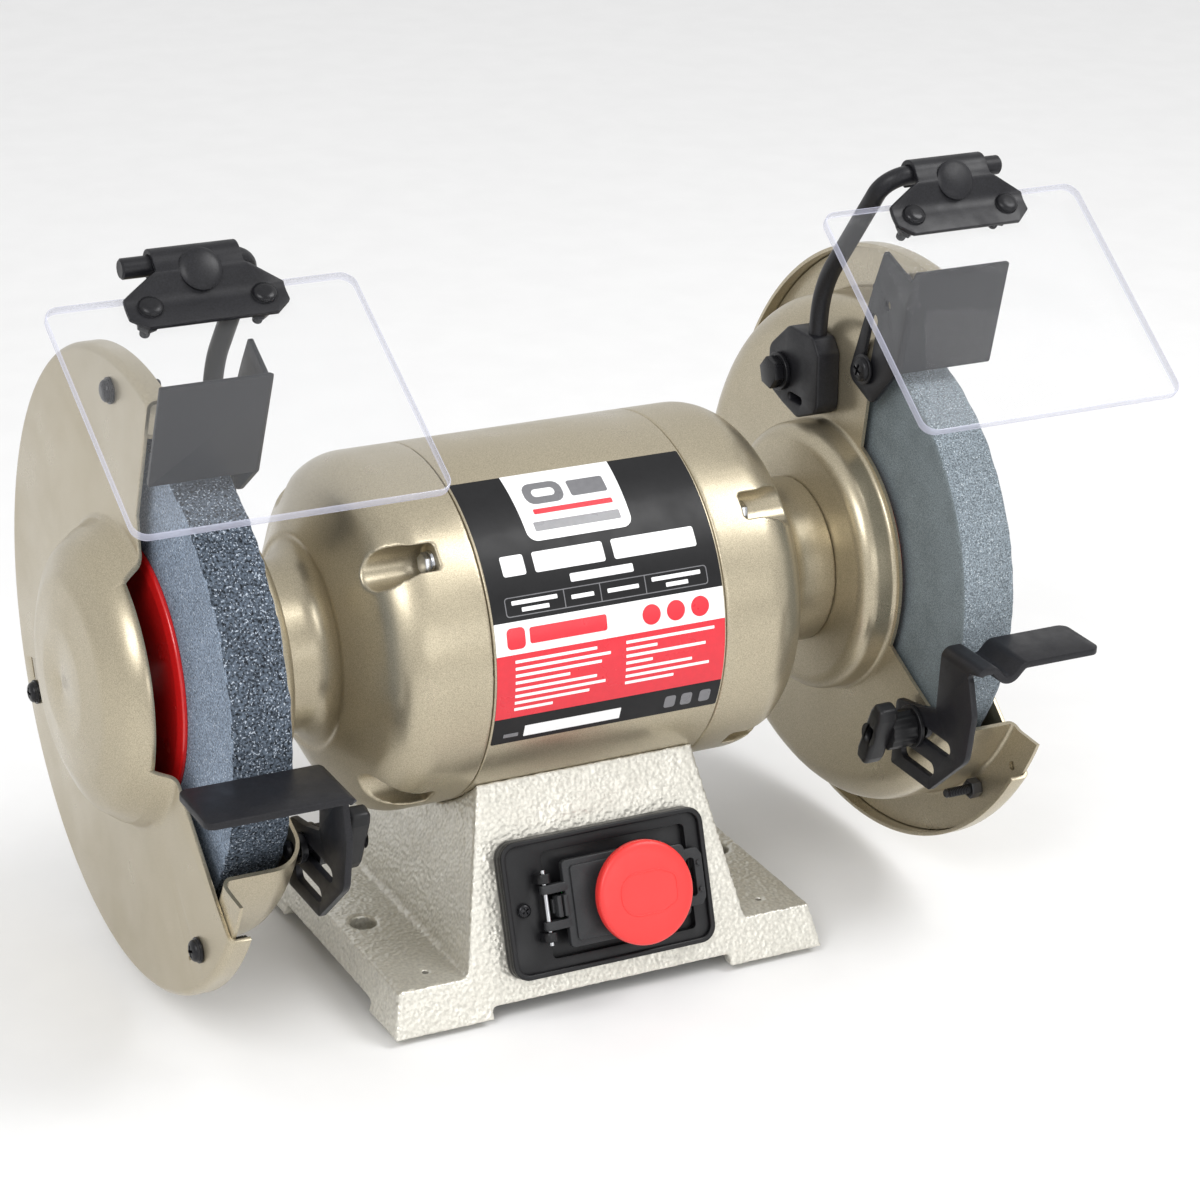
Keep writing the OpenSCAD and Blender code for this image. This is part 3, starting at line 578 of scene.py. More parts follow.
cast = put("cast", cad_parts["base_casting"].data.copy())
cast.data.materials.clear()
# The skin closes over the heads of the foot screws, and leaves a small hole in each
plugs = [slab("plug", circle(5, foot), 17.6, 21.3, holes=[circle(1.5, foot, 16)], edge=0) for foot in FEET]
base = softened(joined("base_hammered", [cast] + plugs), 0.95)
displaced(base, lambda p: noise.noise(p * 520) * 0.2 + noise.noise(p * 150) * 0.12)
piece(base, "stand", "base_casting", CAST, sharp=80)

pad = [(0, 2.2), (0, 8.4), (0.5, 9.1), (1.0, 9.3), (1.3, 8.9), (1.7, 8.9), (2.0, 9.4), (2.9, 9.7),
       (2.95, 2.2), (1.2, 2.0)]
feet = [turned("foot", pad, Matrix.Translation((*foot, 0.02)), 40) for foot in FEET]
piece(joined("rubber_pads", feet), "stand", "rubber_feet", RUBBER)


# ---- Motor ----

SHELL_X = 51.9
SHELL_IN = MOTOR_R - 3.4
shell = [(-SHELL_X, SHELL_IN), (-SHELL_X, MOTOR_R), (SHELL_X, MOTOR_R), (SHELL_X, SHELL_IN)]
shell = turned("rolled_shell", rounded(shell, [0, 0.6, 0.6, 0]), steps=224)
piece(shell, "stand", "motor_shell", PAINT)

for side_name, side in SIDES:
    outer = ([(52.05, MOTOR_R)] + arc((74, MOTOR_R - 22), 22, 90, 30, 16) + [(103.5, 44.6)]
             + arc((112.5, 45.5), 10, 200, 270, 8) + [(127, 35.5)])
    inner = [(127, 12), (115, 12), (115, 16), (113, 16), (113, 20), (101, 20), (97, 20.2), (94, 28),
             (88, 40), (80, 50), (72, 56), (64, 58), (62, 66.5), (52.05, 66.5)]
    bell = turned("bell_" + side_name, outer + inner, steps=200)
    for angle in HOUSING_ANGLES:
        pocket = rounded([(0, 0), (0, 8), (40, 8), (40, 0)], [0, 1.2, 0, 0])
        place = at_point(68, *on_circle(HOUSING_BOLT_R + 1, angle))
        boolean(bell, turned("cutter", pocket, place, 40))
    softened(bell, 0.72)
    sided(bell, side)
    piece(bell, "stand", "end_bell_" + side_name, PAINT, sharp=75)


def hex_piece(name, across, low, high, place, bore=0.0):
    """A hexagon head, or a nut where it has a bore."""
    outline = [on_circle(across / math.sqrt(3), 30 + 60 * k) for k in range(6)]
    holes = [circle(bore, steps=24)] if bore else []
    return slab(name, outline, low, high, place, holes=holes, edge=0.55)


def threaded(name, radius, low, high, place, pitch=0.8):
    """A bar with a ringed thread and a chamfered end."""
    loop = [(low, 0), (low, radius)]
    z = low + pitch / 2
    while z < high - 1.2:
        loop += [(z, radius), (z + pitch / 2, radius * 0.86)]
        z += pitch
    loop += [(high - 0.6, radius * 0.95), (high, radius * 0.7), (high, 0)]
    return turned(name, loop, place, 24)


def cross_headed(name, radius, height, low, place, washer=0.0):
    """A pan head with a cross recess on local Z, standing on low, with a washer under it if asked."""
    top = low + height
    loop = [(low, 0), (low, radius), (low + 0.3 * height, radius)]
    loop += [(low + height * (0.3 + 0.7 * math.sin(a)), radius * (0.35 + 0.65 * math.cos(a)))
             for a in (0.35, 0.7, 1.05, 1.35)] + [(top, radius * 0.3), (top, 0)]
    head = turned(name, loop, place, 36)
    long, half = radius * 0.55, radius * 0.13
    cross = [(long, -half), (long, half), (half, half), (half, long), (-half, long), (-half, half),
             (-long, half), (-long, -half), (-half, -half), (-half, -long), (half, -long), (half, -half)]
    head = boolean(head, slab("cutter", cross, top - 0.55 * height, top + 1, place, edge=0))
    if not washer:
        return head
    return joined(name, [head, disc("washer", washer, low - 1.15, low, place, 0.3)])


parts = []
for angle in HOUSING_ANGLES:
    y, rel = on_circle(HOUSING_BOLT_R, angle)
    for _, side in SIDES:
        place = at_point(0, y, rel, 15)
        head = joined("head", [
            hex_piece("hex", 8, 69.3, 72.0, place),
            turned("flange", rounded([(68.05, 0), (68.05, 5.2), (69.4, 4.6), (69.4, 0)], [0, 0.3, 0.3, 0]),
                   place, 36)])
        parts.append(sided(head, side))
    parts.append(disc("stem", 2.4, -69, 69, at_point(0, y, rel), steps=16))
piece(joined("through_bolts", parts), "stand", "housing_bolts", STEEL)


# ---- Label: plain bands, blocks and bars ----

LABEL_R = MOTOR_R + 0.03
DEGREE = math.pi / 180 * LABEL_R
FILM_STEP = 2.5


def label_patch(outline, level, material, holes=()):
    """A film on the shell. The outline is [x, degrees up from the front]; each level lies on the last."""
    base_r = LABEL_R + level * 0.09
    flat = [(a * DEGREE, x) for x, a in outline]
    cut = [[(a * DEGREE, x) for x, a in h] for h in holes]
    bm = slab_mesh(flat, 0, 0.1, holes=cut, edge=0)
    ways = [p[0] for p in flat]
    first = math.ceil(min(ways) / FILM_STEP)
    creased(bm, [k * FILM_STEP for k in range(first, math.ceil(max(ways) / FILM_STEP))])
    for v in bm.verts:
        angle, r = v.co.x / LABEL_R, base_r + v.co.z
        v.co = Vector((v.co.y, -r * math.cos(angle), SHAFT + r * math.sin(angle)))
    return painted(to_object("film", bm), material)


def in_degrees(outline):
    return [(x, way / DEGREE) for x, way in outline]


def box(x0, x1, a0, a1, radius):
    """A rectangle as [x, degrees up], with corners that are round in millimetres."""
    return in_degrees(rectangle(x0, x1, a0 * DEGREE, a1 * DEGREE, radius, 4))


def bar(x0, x1, a0, a1, level, material, radius=0.3):
    return label_patch(box(x0, x1, a0, a1, radius), level, material)


label = [bar(-51, 51, -20, 69, 0, LABEL_BLACK, 0.8)]
badge = [(x, a * DEGREE) for x, a in ((-29, 69), (-28, 44.2), (18, 44.2), (19, 69))]
label.append(label_patch(in_degrees(rounded(badge, [0, 4.5, 4.5, 0])), 1, LABEL_WHITE))
label += [bar(-23, -6, 56.5, 64.5, 2, LABEL_GREY, 4), bar(-19.5, -9.5, 59, 62, 3, LABEL_WHITE, 1.8),
          bar(-3, 13, 57.5, 63.5, 2, LABEL_GREY, 1), bar(-22, 13, 53, 54.8, 2, LABEL_RED, 0.6),
          bar(-24, 14, 47.3, 50.4, 2, LABEL_GREY, 0.6)]
label += [bar(-43, -33, 34.6, 41, 1, LABEL_WHITE, 1), bar(-29, 2, 34.6, 41, 1, LABEL_WHITE, 1),
          bar(6, 43, 34.6, 41, 1, LABEL_WHITE, 1), bar(-15, 13, 30, 32.6, 1, LABEL_WHITE, 0.6)]
label.append(label_patch(box(-45, 45, 22.4, 28.4, 1.4), 1, LABEL_GREY,
                         holes=[box(-44.6, 44.6, 22.7, 28.1, 1.1)]))
for x in (-19, -3, 17):
    label.append(bar(x - 0.2, x + 0.2, 22.6, 28.2, 1, LABEL_GREY, 0))
for x0, x1, a in ((-42, -22, 25.9), (-38, -26, 23.6), (-16, -6, 24.8), (0, 14, 24.8), (20, 42, 25.9),
                  (26, 36, 23.6)):
    label.append(bar(x0, x1, a, a + 1.3, 1, LABEL_WHITE, 0.3))
label.append(bar(-51, 51, 11, 21, 1, LABEL_WHITE, 0))
label += [bar(-46, -38, 12.6, 19.2, 2, LABEL_RED, 2), bar(-36, -2, 13.6, 18.6, 2, LABEL_RED, 1)]
for x in (18, 29, 40):
    dot = [(x + p[0], 16 + p[1] / DEGREE) for p in circle(4.1)]
    label.append(label_patch(dot, 2, LABEL_RED))
label.append(bar(-51, 51, -10, 11, 1, LABEL_RED, 0))
for start, widths in ((-43, (36, 42, 38, 24, 36, 40, 33, 17)), (6, (40, 14, 36, 12, 30, 38, 22))):
    for row, width in enumerate(widths):
        low = 8.2 - row * 2.25
        label.append(bar(start, start + width, low, low + 0.95, 2, LABEL_WHITE, 0.2))
label += [bar(-37, 6, -18.2, -14, 1, LABEL_WHITE, 0.2), bar(-46, -39.5, -17.6, -16.2, 1, LABEL_GREY, 0.2)]
for x in (26, 33.5, 42):
    label.append(bar(x, x + 5, -17.6, -13, 1, LABEL_GREY, 1.2))
piece(joined("front_label", label), "stand", "label_plate", sharp=60)


# ---- Guards ----

def punched(ob, radius, y, rel, x0=100, x1=200):
    """A round hole along the shaft's direction."""
    return boolean(ob, disc("cutter", radius, x0, x1, at_point(0, y, rel), steps=28))


for side_name, side in SIDES:
    path = rounded([(127.05, 13), (127.05, 58), (GUARD_X, 58), (GUARD_X, 110.5), (176.4, 110.5),
                    (176.4, 127.6)], [0, 8, 2.2, 14, 2.2, 0], closed=False, steps=10)
    guard = turned("guard_" + side_name, sheet_loop(path, SHEET), steps=240)
    low = rounded([(-56, -22), (-74, -29), (-92, -37), (-104, -45), (-150, -47)], [0, 8, 14, 10, 0],
                  closed=False)[1:]
    cut = ([(-26, 160), (-26, 117), (-26, 95)] + arc((0, 0), 60.5, 112, 200, 40) + low
           + [(-170, -47), (-170, 160)])
    boolean(guard, slab("cutter", cut, 100, 200, ALONG_X, edge=0))
    for angle in COVER_ANGLES:
        punched(guard, 2.4, *on_circle(COVER_SCREW_R, angle), x0=165)
    punched(guard, 3.1, *REST_BOLT, x1=155)
    punched(guard, 2.0, -104, -62, x1=185)
    bevelled(guard, 0.42)
    sided(guard, side)
    piece(guard, "stand", "inner_guard_" + side_name, PAINT, sharp=40)

    path = rounded([(COVER_X - 9, 129.6), (COVER_X, 129.6), (COVER_X, 62), (COVER_X + 7, 58.6),
                    (COVER_X + 16, 52), (COVER_X + 21.5, 40), (COVER_X + 24, 22), (COVER_X + 24, 0.01)],
                   [0, 3.2, 3.5, 5, 14, 18, 22, 0], closed=False, steps=8)
    cover = turned("cover_" + side_name, sheet_loop(path, SHEET), steps=240)
    cut = ([(-42, 160), (-35.5, 120.5), (-21.5, 74), (-23, 60)] + arc((0, 0), 57, 119, 197, 40)
           + rounded([(-56, -18), (-76, -34), (-98, -52.5), (-150, -92)], [0, 10, 10, 0], closed=False)
           + [(-170, -92), (-170, 160)])
    boolean(cover, slab("cutter", cut, 150, 210, ALONG_X, edge=0))
    for angle in COVER_ANGLES:
        ends = [on_circle(COVER_SCREW_R, angle + further) for further in (3, 7)]
        slot_line = slot_outline(*ends, 0.8)
        boolean(cover, slab("cutter", slot_line, 170, 190, ALONG_X, edge=0))
    bevelled(cover, 0.42)
    sided(cover, side)
    piece(cover, "stand", "outer_cover_" + side_name, PAINT, sharp=40)

screws, nuts = [], []
for _, side in SIDES:
    for angle in COVER_ANGLES:
        y, rel = on_circle(COVER_SCREW_R, angle)
        place = at_point(0, y, rel, 20 + angle)
        # The stem is turned end for end, so that its thin end is the inner one
        other_way = place @ Matrix.Translation((0, 0, 161 + COVER_X)) @ HALF_TURN
        screw = joined("screw", [cross_headed("head", 4.4, 2.6, COVER_X + 1.25, place, 5.2),
                                 threaded("stem", 2.1, 161, COVER_X + 1.3, other_way)])
        screws.append(sided(screw, side))
        nuts.append(sided(hex_piece("nut", 7.5, 171.3, 176.3, place, 2.1), side))
piece(joined("cover_screw_set", screws), "stand", "cover_screws", BLACK_BOLT)
piece(joined("cover_nut_set", nuts), "stand", "cover_nuts", BLACK_BOLT)

arm, spark, rest = [], [], []
for _, side in SIDES:
    place = at_point(0, *ARM_BOLT, 10)
    parts = [hex_piece("hex", 12, 124, 128.6, place), hex_piece("nut", 11, 143.75, 146.3, place, 3.9),
             disc("stem", 4, 128.5, 145.6, place, steps=28),
             disc("washer", 8.2, 128.6, 130.6, place, 0.4)]
    arm.append(sided(joined("bolt", parts), side))
    place = at_point(0, *SPARK_BOLT, 20) @ Matrix.Translation((0, 0, 138.2)) @ HALF_TURN
    parts = [cross_headed("head", 5, 2.2, 0, place, 6.5),
             disc("stem", 2.5, -7, 0, place, steps=24),
             hex_piece("nut", 8, 143.75, 146.1, at_point(0, *SPARK_BOLT, 10), 2.4)]
    spark.append(sided(joined("bolt", parts), side))
    place = at_point(0, *REST_BOLT)
    head = rounded([(145.0, 0), (145.0, 4), (146.5, 3.2), (146.5, 0)], [0, 0.3, 0.5, 0])
    parts = [threaded("stem", 3, -145.3, -118.2, place @ Matrix.Rotation(math.pi, 4, "Y"), 1.0),
             turned("head", head, place, 32),
             disc("spacer", 6, 139.15, 142.05, place, 0.3, 3)]
    rest.append(sided(joined("bolt", parts), side))
for name, bolts in (("arm_bolt", arm), ("spark_bolt", spark), ("rest_bolt", rest)):
    piece(joined(name + "_set", bolts), "stand", name + "s", BLACK_BOLT)


# ---- Wheels ----

def wheel(name, side, coarse):
    """A bonded wheel: fine rows over the rim, with grain pulled out of the surface and worn corners."""
    low, high, rim = WHEEL_IN, WHEEL_OUT, WHEEL_R
    side_rows = [16, 30, 45, 56, 64, 72, 80, 87, 93, 97]
    loop = [(low, r) for r in side_rows]
    loop += [(low + 0.1, 98.9), (low + 0.6, 99.6), (low + 1.4, rim)]
    loop += [(low + 1.4 + (high - low - 2.8) * k / 14, rim) for k in range(1, 14)]
    loop += [(high - 1.4, rim), (high - 0.6, 99.6), (high - 0.1, 98.9)]
    loop += [(high, r) for r in side_rows[::-1]]
    ob = turned(name, loop, steps=330)

    def grain(p):
        if math.hypot(p.y, p.z - SHAFT * MM) < 90 * MM:
            return 0.0
        depth = (noise.noise(p * 430) * 0.5 - 0.5) * coarse
        if min(abs(p.x / MM - low), abs(p.x / MM - high)) < 1.6:
            depth += (noise.noise(p * 190) - 0.35) * 2.2 * coarse
        return min(depth, 0.0)

    return sided(displaced(ob, grain), side)


STONES = ((STONE_LEFT, STONE_LEFT_SIDE), (STONE_RIGHT, STONE_RIGHT_SIDE))
for (side_name, side), stone, coarse in zip(SIDES, STONES, (0.3, 0.16)):
    ob = painted(wheel("stone_" + side_name, side, coarse), *stone)
    for polygon in ob.data.polygons:
        polygon.material_index = int(abs(polygon.normal.x) > 0.8)
    piece(ob, "rotor", "wheel_" + side_name, sharp=70)

inner_set, outer_set = [], []
for _, side in SIDES:
    face = rounded([(147.45, 8), (147.45, 55), (145.6, 55), (145.0, 52.2), (145.7, 50.6), (145.0, 49),
                    (145.0, 24), (140.2, 17), (139.2, 12), (139.2, 8)],
                   [0, 0.4, 1.0, 0.4, 0.4, 0.4, 3, 3, 1, 0])
    inner_set.append(sided(turned("flange", face, steps=160), side))
    face = rounded([(172.55, 8), (172.55, 55), (174.4, 55), (175.4, 51), (175.5, 24), (176.5, 12),
                    (176.5, 8)], [0, 0.4, 1.0, 2, 2, 1, 0])
    outer_set.append(sided(turned("flange", face, steps=160), side))
piece(joined("inner_flange_set", inner_set), "rotor", "inner_flanges", RED_PAINT)
piece(joined("outer_flange_set", outer_set), "rotor", "outer_flanges", RED_PAINT)


# ---- Tool rests ----

def tool_rest(name, side, front, grooved):
    corner = [(136, -66), (136, -1)]
    radii = [0, 4.5]
    if grooved:
        corner += [(145.5, -1), (152, -8), (158.5, -1)]
        radii += [3.5, 3.2, 5]
    path = rounded(corner + [(196, -1)], radii + [0], closed=False, steps=8)
    ways, _ = follow(path)
    end = ways[-1] - 0.02
    outline = [(0, -74), (0, -103), (23, -126), (44, -128), (57.5, -123.5), (59.5, -122.2), (61.5, -123.5),
               (62.5, front), (end, front), (end, -102.5), (37, -102.5), (33, -90), (30, -74)]
    outline = rounded(outline, [1.2, 3, 9, 5, 1.5, 1.5, 1.5, 1.5, 4, 4, 1.5, 8, 3], steps=6)
    holes = [slot_outline((23, -81), (23, -112), 3.15), slot_outline((9.5, -84), (9.5, -102), 3.15)]
    ob = bent(name, outline, path, 3.0, lambda p, across: Vector((p[0], across, SHAFT + p[1])),
              holes=holes, edge=0.5)
    return sided(ob, side)


for (side_name, side), front, grooved in zip(SIDES, (-132.5, -128.5), (False, True)):
    piece(tool_rest("rest_" + side_name, side, front, grooved), "tool_rest_" + side_name,
          "tool_rest_" + side_name, BLACK)
    place = at_point(0, *REST_BOLT)
    ribs = [on_circle(8.0 if k % 4 < 2 else 7.5, 7.5 * k) for k in range(48)]
    hub = slab("hub", ribs, 122, 133.6, place, holes=[circle(3.05, steps=24)], edge=0.35)
    ring = disc("ring", 9, 134.1, 135.9, place, 0.35, 3.1, 48)
    collar = disc("collar", 6.8, 133.4, 134.3, place, 0.1, 3.1)
    wing = rounded([(-3.2, -15), (3.2, -15), (4.5, -10.5), (4.5, 10.5), (3.2, 15), (-3.2, 15), (-4.5, 10.5),
                    (-4.5, -10.5)], 2.2)
    leant = (Matrix.Translation((0, REST_BOLT[0], SHAFT + REST_BOLT[1]))
             @ Matrix.Rotation(math.radians(20), 4, "X") @ BACK_UP_RIGHT)
    wing = slab("wing", wing, 114.05, 123, leant, holes=[circle(3.05, steps=24)], edge=2.0, edge_steps=4)
    knob = sided(joined("knob_" + side_name, [hub, ring, collar, wing]), side)
    piece(knob, "rest_knob_" + side_name, "rest_knob_" + side_name, PLASTIC_BLACK)


# ---- Spark arrestors ----

# Each plate's zero is SLOT_OUT in front of its bolt, and raised above it
SLOT_OUT = 22.4
for (side_name, side), lean, raised in zip(SIDES, (19, 9), (13, 8.5)):
    place = (Matrix.Translation((0, SPARK_BOLT[0], SHAFT + SPARK_BOLT[1]))
             @ Matrix.Rotation(math.radians(lean), 4, "X") @ Matrix.Translation((0, -SLOT_OUT, raised)))
    path = rounded([(140, 33.8), (140, 0), (185, 0)], [0, 2.6, 0], closed=False, steps=8)
    ways, _ = follow(path)
    end = ways[-1] - 0.02
    outline = rounded([(0, -17), (7.5, 31.8), (10.1, 44.4), (31.5, 40.4), (33, 44.98), (end, 44.98),
                       (end, 0.02), (33, 0.02), (31, -3), (19.9, -21)],
                      [5, 3, 1.2, 0.8, 0.6, 0.8, 0.8, 0.8, 0.8, 5])
    holes = [slot_outline((11.4, -13), (11.4, 13.6), 2.65), circle(2, (18.9, 24), 24)]
    plate = bent("arrestor_" + side_name, outline, path, 2.0, lambda p, across: Vector((*p, across)),
                 holes=holes, edge=0.35, place=place, low=0.0)
    piece(sided(plate, side), "spark_arrestor_" + side_name, "spark_arrestor_" + side_name,
          BLACK)


# ---- Eye shields ----

ROD_Y, ROD_UP = -33.0, 175.0
SHEET_SCREWS = [(u, 18.5) for u in (-22, 22)]
for (side_name, side), x_end, tilt, x in zip(SIDES, (188, 190), (30, 36), (160, 164)):
    block = rounded([(-2, 91), (-4, 66), (11.7, 59), (24, 62), (36, 66), (37, 84), (22.5, 97), (3, 97)],
                    [4, 6, 5, 3, 6, 6, 6, 3])
    block = slab("block", block, 131, 142, ALONG_X, edge=1.0, edge_steps=3,
                 holes=[circle(4.05, ARM_BOLT, 32), slot_outline((10, 67), (17, 67), 1.6)])
    rod = rounded([(136.5, 8.2, SHAFT + 88), (136.5, 7.4, SHAFT + 118), (136.7, ROD_Y, SHAFT + ROD_UP),
                   (x_end, ROD_Y, SHAFT + ROD_UP)], [0, 46, 10, 0], closed=False, steps=12)
    rod = tube("rod", rod, 3.9, steps=28)
    piece(sided(joined("arm_" + side_name, [block, rod]), side), "shield_arm_" + side_name,
          "shield_arm_" + side_name, BLACK)

    # On the clamp, local X is across, Y is down the sheet, and Z is out to the front
    on_rod = (Matrix.Translation((x, ROD_Y, SHAFT + ROD_UP))
              @ Matrix.Rotation(math.radians(180 + tilt), 4, "X") @ Matrix.Scale(-1, 4, (0, 0, 1)))
    top = -1.63
    wrap = [on_circle(6.1, a) for a in range(-70, -301, -10)]
    path = wrap + rounded([wrap[-1], (7.5, 4.6), (15.5, top), (27, top)], [0, 5, 9, 0], closed=False)[1:]
    ways, _ = follow(path)
    length = ways[-1]
    neck = max(w for w, p in zip(ways, path) if w > 20 and p[0] <= 7)
    outline = mirrored([(0.02, -17), (neck, -17), (length - 13, -31), (length - 5, -31),
                        (length - 0.02, -25)], [0.5, 1.5, 1.2, 1, 1])
    strap = bent("strap", outline, path, 2.0, lambda p, across: Vector((across, p[0], p[1])), edge=0.3,
                 place=on_rod)
    dome = [(0, 0), (0, 8.2), (0.7, 8.2), (1.4, 7.4), (1.9, 6), (2.3, 3.8), (2.5, 1.6), (2.55, 0)]
    carriage = turned("carriage", dome, on_rod @ Matrix.Translation((0, 7.4, 3.6))
                      @ Matrix.Rotation(math.radians(-24), 4, "X"), 48)
    stem = threaded("stem", 2.9, 0, 11, on_rod @ Matrix.Translation((0, 7.2, 3.4)) @ HALF_TURN)
    clamp = sided(joined("clamp_" + side_name, [strap, carriage, stem]), side)
    piece(clamp, "eye_shield_" + side_name, "shield_clamp_" + side_name, BLACK)

    sheet_outline = rectangle(-60.5, 60.5, 10.5, 116.5, 6, 8)
    sheet = slab("shield_" + side_name, sheet_outline, -7.15, -3.65, on_rod, edge=0.6,
                 holes=[circle(2.2, at, 20) for at in SHEET_SCREWS])
    sided(sheet, side)
    painted(sheet, CLEAR, CLEAR_EDGE_PAINTED_LIGHT)
    face = (on_rod.to_3x3() @ Vector((0, 0, 1))).normalized()
    # The side faces take the edge material, whose extra opacity and tint are painted light for the
    # refraction along the sheet's edge
    for polygon in sheet.data.polygons:
        polygon.material_index = 0 if abs(polygon.normal.dot(face)) > 0.95 else 1
    piece(sheet, "eye_shield_" + side_name, "eye_shield_" + side_name, sharp=30)

    parts = []
    for u, v in SHEET_SCREWS:
        place = on_rod @ Matrix.Translation((u, v, 0)) @ Matrix.Rotation(math.radians(25 + u), 4, "Z")
        parts += [cross_headed("head", 4.7, 2.6, top + 0.03, place),
                  threaded("stem", 2.0, 0, 14.5, place @ Matrix.Translation((0, 0, top)) @ HALF_TURN),
                  hex_piece("nut", 7.2, -11.3, -7.3, place, 1.95)]
    piece(sided(joined("shield_screw_set_" + side_name, parts), side), "eye_shield_" + side_name,
          "shield_screws_" + side_name, BLACK_BOLT)


# ---- Switch ----

# On the sloping front, u is right, v is up the slope, and the third is outwards
FRONT_LEAN = math.atan(0.385)
ON_FRONT = Matrix.Translation((0, -74.3, 43)) @ Matrix.Rotation(math.pi / 2 - FRONT_LEAN, 4, "X")
SCREW_U = (-38.5, 41.5)
START_U, STOP_U = -15, 9
HINGE, PIN_HOLE = (-30, 9.6), 1.05


def front_slab(outline, low, high, **more):
    return slab("part", outline, low, high, ON_FRONT, **more)


def front_turned(u, v, loop, steps):
    return turned("part", loop, ON_FRONT @ Matrix.Translation((u, v, 0)), steps)


# An extrusion along the slope: the outline is [across, outwards]
ALONG_V = ON_FRONT @ Matrix(((1, 0, 0, 0), (0, 0, 1, 0), (0, 1, 0, 0), (0, 0, 0, 1)))

outer = rectangle(-46.5, 46.5, -28.5, 28.5, 7, 8)
rim = rectangle(-44.2, 44.2, -26.2, 26.2, 5, 8)
recess = rectangle(-28, 38, -22, 22, 2, 4)
screw_holes = [circle(2.0, (u, 0), 20) for u in SCREW_U]
button_holes = [circle(6.8, (u, 0), 28) for u in (START_U, STOP_U)]
parts = [front_slab(outer, 0.06, 2.4, holes=screw_holes + button_holes, edge=0.3),
         front_slab(outer, 2.2, 5.4, holes=[recess] + screw_holes, edge=0.4),
         front_slab(outer, 5.1, 7.0, holes=[rim], edge=0.7, edge_steps=3)]
for u in (START_U, STOP_U):
    parts.append(front_slab(circle(8.2, (u, 0), 32), 2.2, 4.2, holes=[circle(6.8, (u, 0), 32)], edge=0.4))
hinge_hole = circle(PIN_HOLE, HINGE, 16)
ear = rounded([(-33, 5), (-27, 5), (-27, 10), (-28.2, 12), (-31.8, 12), (-33, 10)], [0, 0, 2, 2.4, 2.4, 2])
for v in (-14, 10):
    parts.append(slab("ear", ear, v, v + 4, ALONG_V, holes=[hinge_hole], edge=0.5))
piece(joined("switch_housing", parts), "stand", "switch_box", PLASTIC_BLACK)

parts = []
for u in SCREW_U:
    place = ON_FRONT @ Matrix.Translation((u, 0, 0))
    parts += [cross_headed("head", 2.9, 1.7, 5.5, place @ Matrix.Rotation(math.radians(30), 4, "Z")),
              disc("stem", 1.5, -8, 6, place, steps=20)]
piece(joined("switch_screw_set", parts), "stand", "switch_screws", BLACK_BOLT)

lid = mirrored([(-22, -18), (24, -18), (28, -15), (34, -15)], [2, 1.5, 1.5, 2.5])
plateau = mirrored([(-19, -15.5), (22, -15.5), (25, -13), (30, -12)], [1.5, 1.5, 1.5, 2])
around = circle(9.2, (STOP_U, 0), 40)
at_stop = ON_FRONT @ Matrix.Translation((STOP_U, 0, 0))
parts = [front_slab(lid, 8.2, 11.4, holes=[around], edge=0.6, edge_steps=3),
         front_slab(plateau, 11.2, 12.6, holes=[around], edge=0.5),
         disc("collar", 17, 11.5, 14.2, at_stop, 0.4, 15.5, 64)]
loop_tab = mirrored([(32, -12), (40.5, -12), (42.5, -9)], [1, 2, 2])
parts.append(front_slab(loop_tab, 7.6, 9.8, holes=[rectangle(35, 38.6, -8, 8, 1.6, 4)], edge=0.5))
for v in (-5.5, 5.5):
    parts.append(front_turned(40.4, v, [(9.6, 0), (9.6, 1.2), (10.6, 1.2), (10.9, 0.9), (11, 0)], 20))
knuckle = rounded([(-32.2, 7.6), (-21, 7.9), (-20, 11.4), (-28.4, 11.8), (-32.2, 11.4)],
                  [1.9, 0.5, 0.5, 1.5, 1.9])
for v in (-9.4, 5.6):
    parts.append(slab("knuckle", knuckle, v, v + 3.8, ALONG_V, holes=[hinge_hole], edge=0.5))
for u in (-26.5, -23.6):
    parts.append(front_slab(rectangle(u, u + 2.1, -4.4, 4.4, 0.5, 4), 7.8, 12.8, edge=0.4))
parts.append(front_slab(rectangle(-27.5, -20, -3, 3, 0.5, 4), 7.8, 9.6, edge=0.4))
piece(joined("switch_lid", parts), "switch_flap", "switch_flap", PLASTIC)

cap = [(17.6, 0), (17.6, 20.2), (18.0, 21.1), (18.7, 21.5), (21.2, 21.5), (22.1, 21.2), (22.7, 20.5),
       (23.0, 19.4), (23.12, 17), (23.05, 12), (23.0, 6), (23.0, 0)]
ridge = mirrored([(-12, -9), (7, -9), (14, -5.5)], [8, 6, 4])
parts = [front_turned(STOP_U, 0, cap, 96),
         front_turned(STOP_U, 0, [(8.05, 0), (8.05, 8.6), (8.4, 9), (17.8, 9), (17.8, 0)], 48),
         front_turned(STOP_U, 0, [(4.75, 0), (4.75, 4.6), (5.1, 5), (8.2, 5), (8.2, 0)], 40),
         slab("ridge", ridge, 22.8, 23.3, at_stop, holes=[moved(counter_clockwise(ridge), 0.6)], edge=0.15)]
piece(joined("mushroom_paddle", parts), "stop_paddle", "stop_paddle", STOP_RED, sharp=50)

for u, high, name, body, material, slot_name in (
        (START_U, 6.0, "green_button", "start_button", START_GREEN, "start_green"),
        (STOP_U, 4.4, "red_button", "stop_button", STOP_RED, "stop_red")):
    loop = [(-4, 0), (-4, 6.5), (high - 0.9, 6.5), (high - 0.3, 6.1), (high, 5.4), (high - 0.3, 4.6),
            (high - 0.45, 2.5), (high - 0.5, 0)]
    button = front_turned(u, 0, loop, 48)
    button.name = name
    piece(button, body, body, material)


# ---- CAD nodes that keep their own shape ----

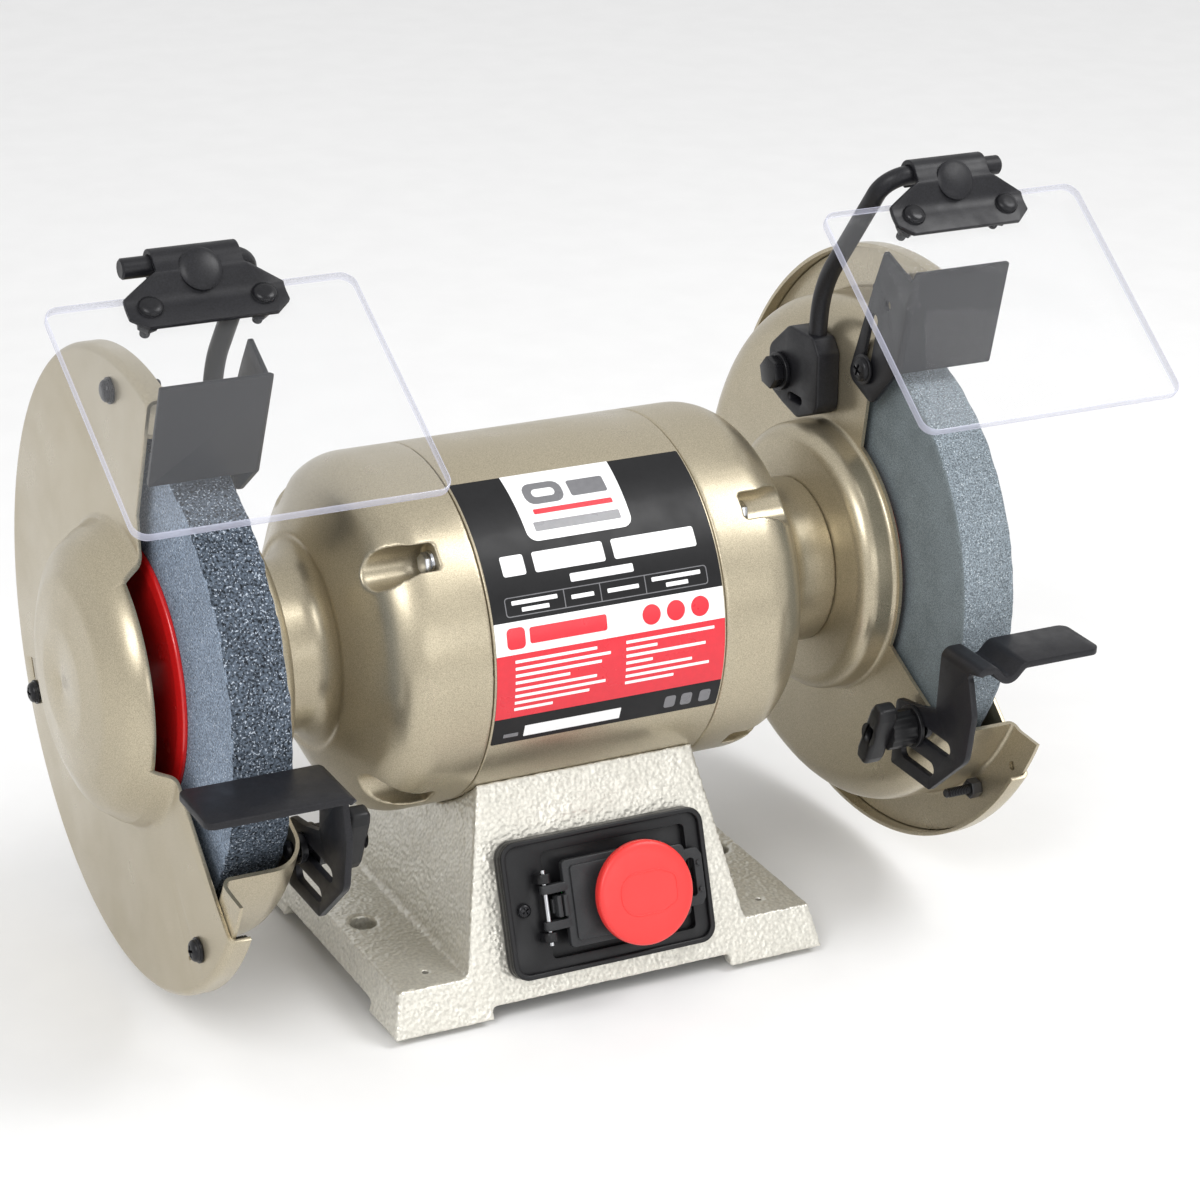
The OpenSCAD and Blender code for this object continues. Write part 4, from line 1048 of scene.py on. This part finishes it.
KEPT = {STEEL: ("bottom_plate", "foot_screws", "shaft", "bearing_inner_rings", "bearing_outer_rings",
                "bearing_balls", "shaft_nuts", "guard_screws", "flap_pin"),
        LAMINATION: ("stator_core", "rotor_core"), COPPER: ("stator_windings",), BUSH: ("wheel_bushes",),
        CAN: ("capacitor",), RUBBER: ("cable_gland",), PLASTIC_BLACK: ("switch_body",)}
for material, names in KEPT.items():
    for name in names:
        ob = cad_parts[name]
        if not ob.data.materials:
            ob.data.materials.append(material)
        for s in ob.material_slots:
            s.material = material


# ---- Floor, light and camera ----

bm = bmesh.new()
bmesh.ops.create_grid(bm, x_segments=1, y_segments=1, size=15000)
floor = to_object("floor", bm)
floor.data.materials.append(finish_of("pale_floor", (0.86, 0.86, 0.86), 0.75, grain=30, grain_amount=0.01,
                                      cloud=2, cloud_amount=0.01, bump=0.0, bump_scale=50))

world = bpy.data.worlds.new("studio")
bpy.context.scene.world = world
world.use_nodes = True
world.node_tree.nodes["Background"].inputs["Color"].default_value = (1, 1, 1, 1)
world.node_tree.nodes["Background"].inputs["Strength"].default_value = 0.82


def softbox(name, place, aim, width, height, power):
    light = bpy.data.lights.new(name, "AREA")
    light.shape = "RECTANGLE"
    light.size, light.size_y, light.energy = width, height, power
    ob = put(name, light)
    ob.location = place
    ob.rotation_euler = (Vector(aim) - Vector(place)).to_track_quat("-Z", "Y").to_euler()


middle = (0.0, 0.0, 0.15)
softbox("key_left", (-1.1, -0.9, 1.3), middle, 0.8, 0.8, 13)
softbox("top_right", (0.9, -0.6, 1.4), middle, 0.7, 0.7, 12)
softbox("front_low", (0.2, -1.6, 0.5), middle, 1.2, 0.4, 3)
bpy.context.scene.view_settings.view_transform = "Standard"

camera = put("camera", bpy.data.cameras.new("camera"))
bpy.context.scene.camera = camera
camera.data.sensor_width = 36.0
camera.data.lens = 97.86
camera.data.shift_x = 0.128
camera.data.shift_y = 0.1285
to_right = Vector((0.90213725, -0.43087058, 0.02233657))
to_top = Vector((0.17137881, 0.405375, 0.89794232))
ahead = Vector((0.39595162, 0.8062392, -0.43954598))
aim = Matrix((to_right, to_top, -ahead)).transposed().to_4x4()
camera.matrix_world = Matrix.Translation((-0.57617, -1.09987, 0.6786)) @ aim
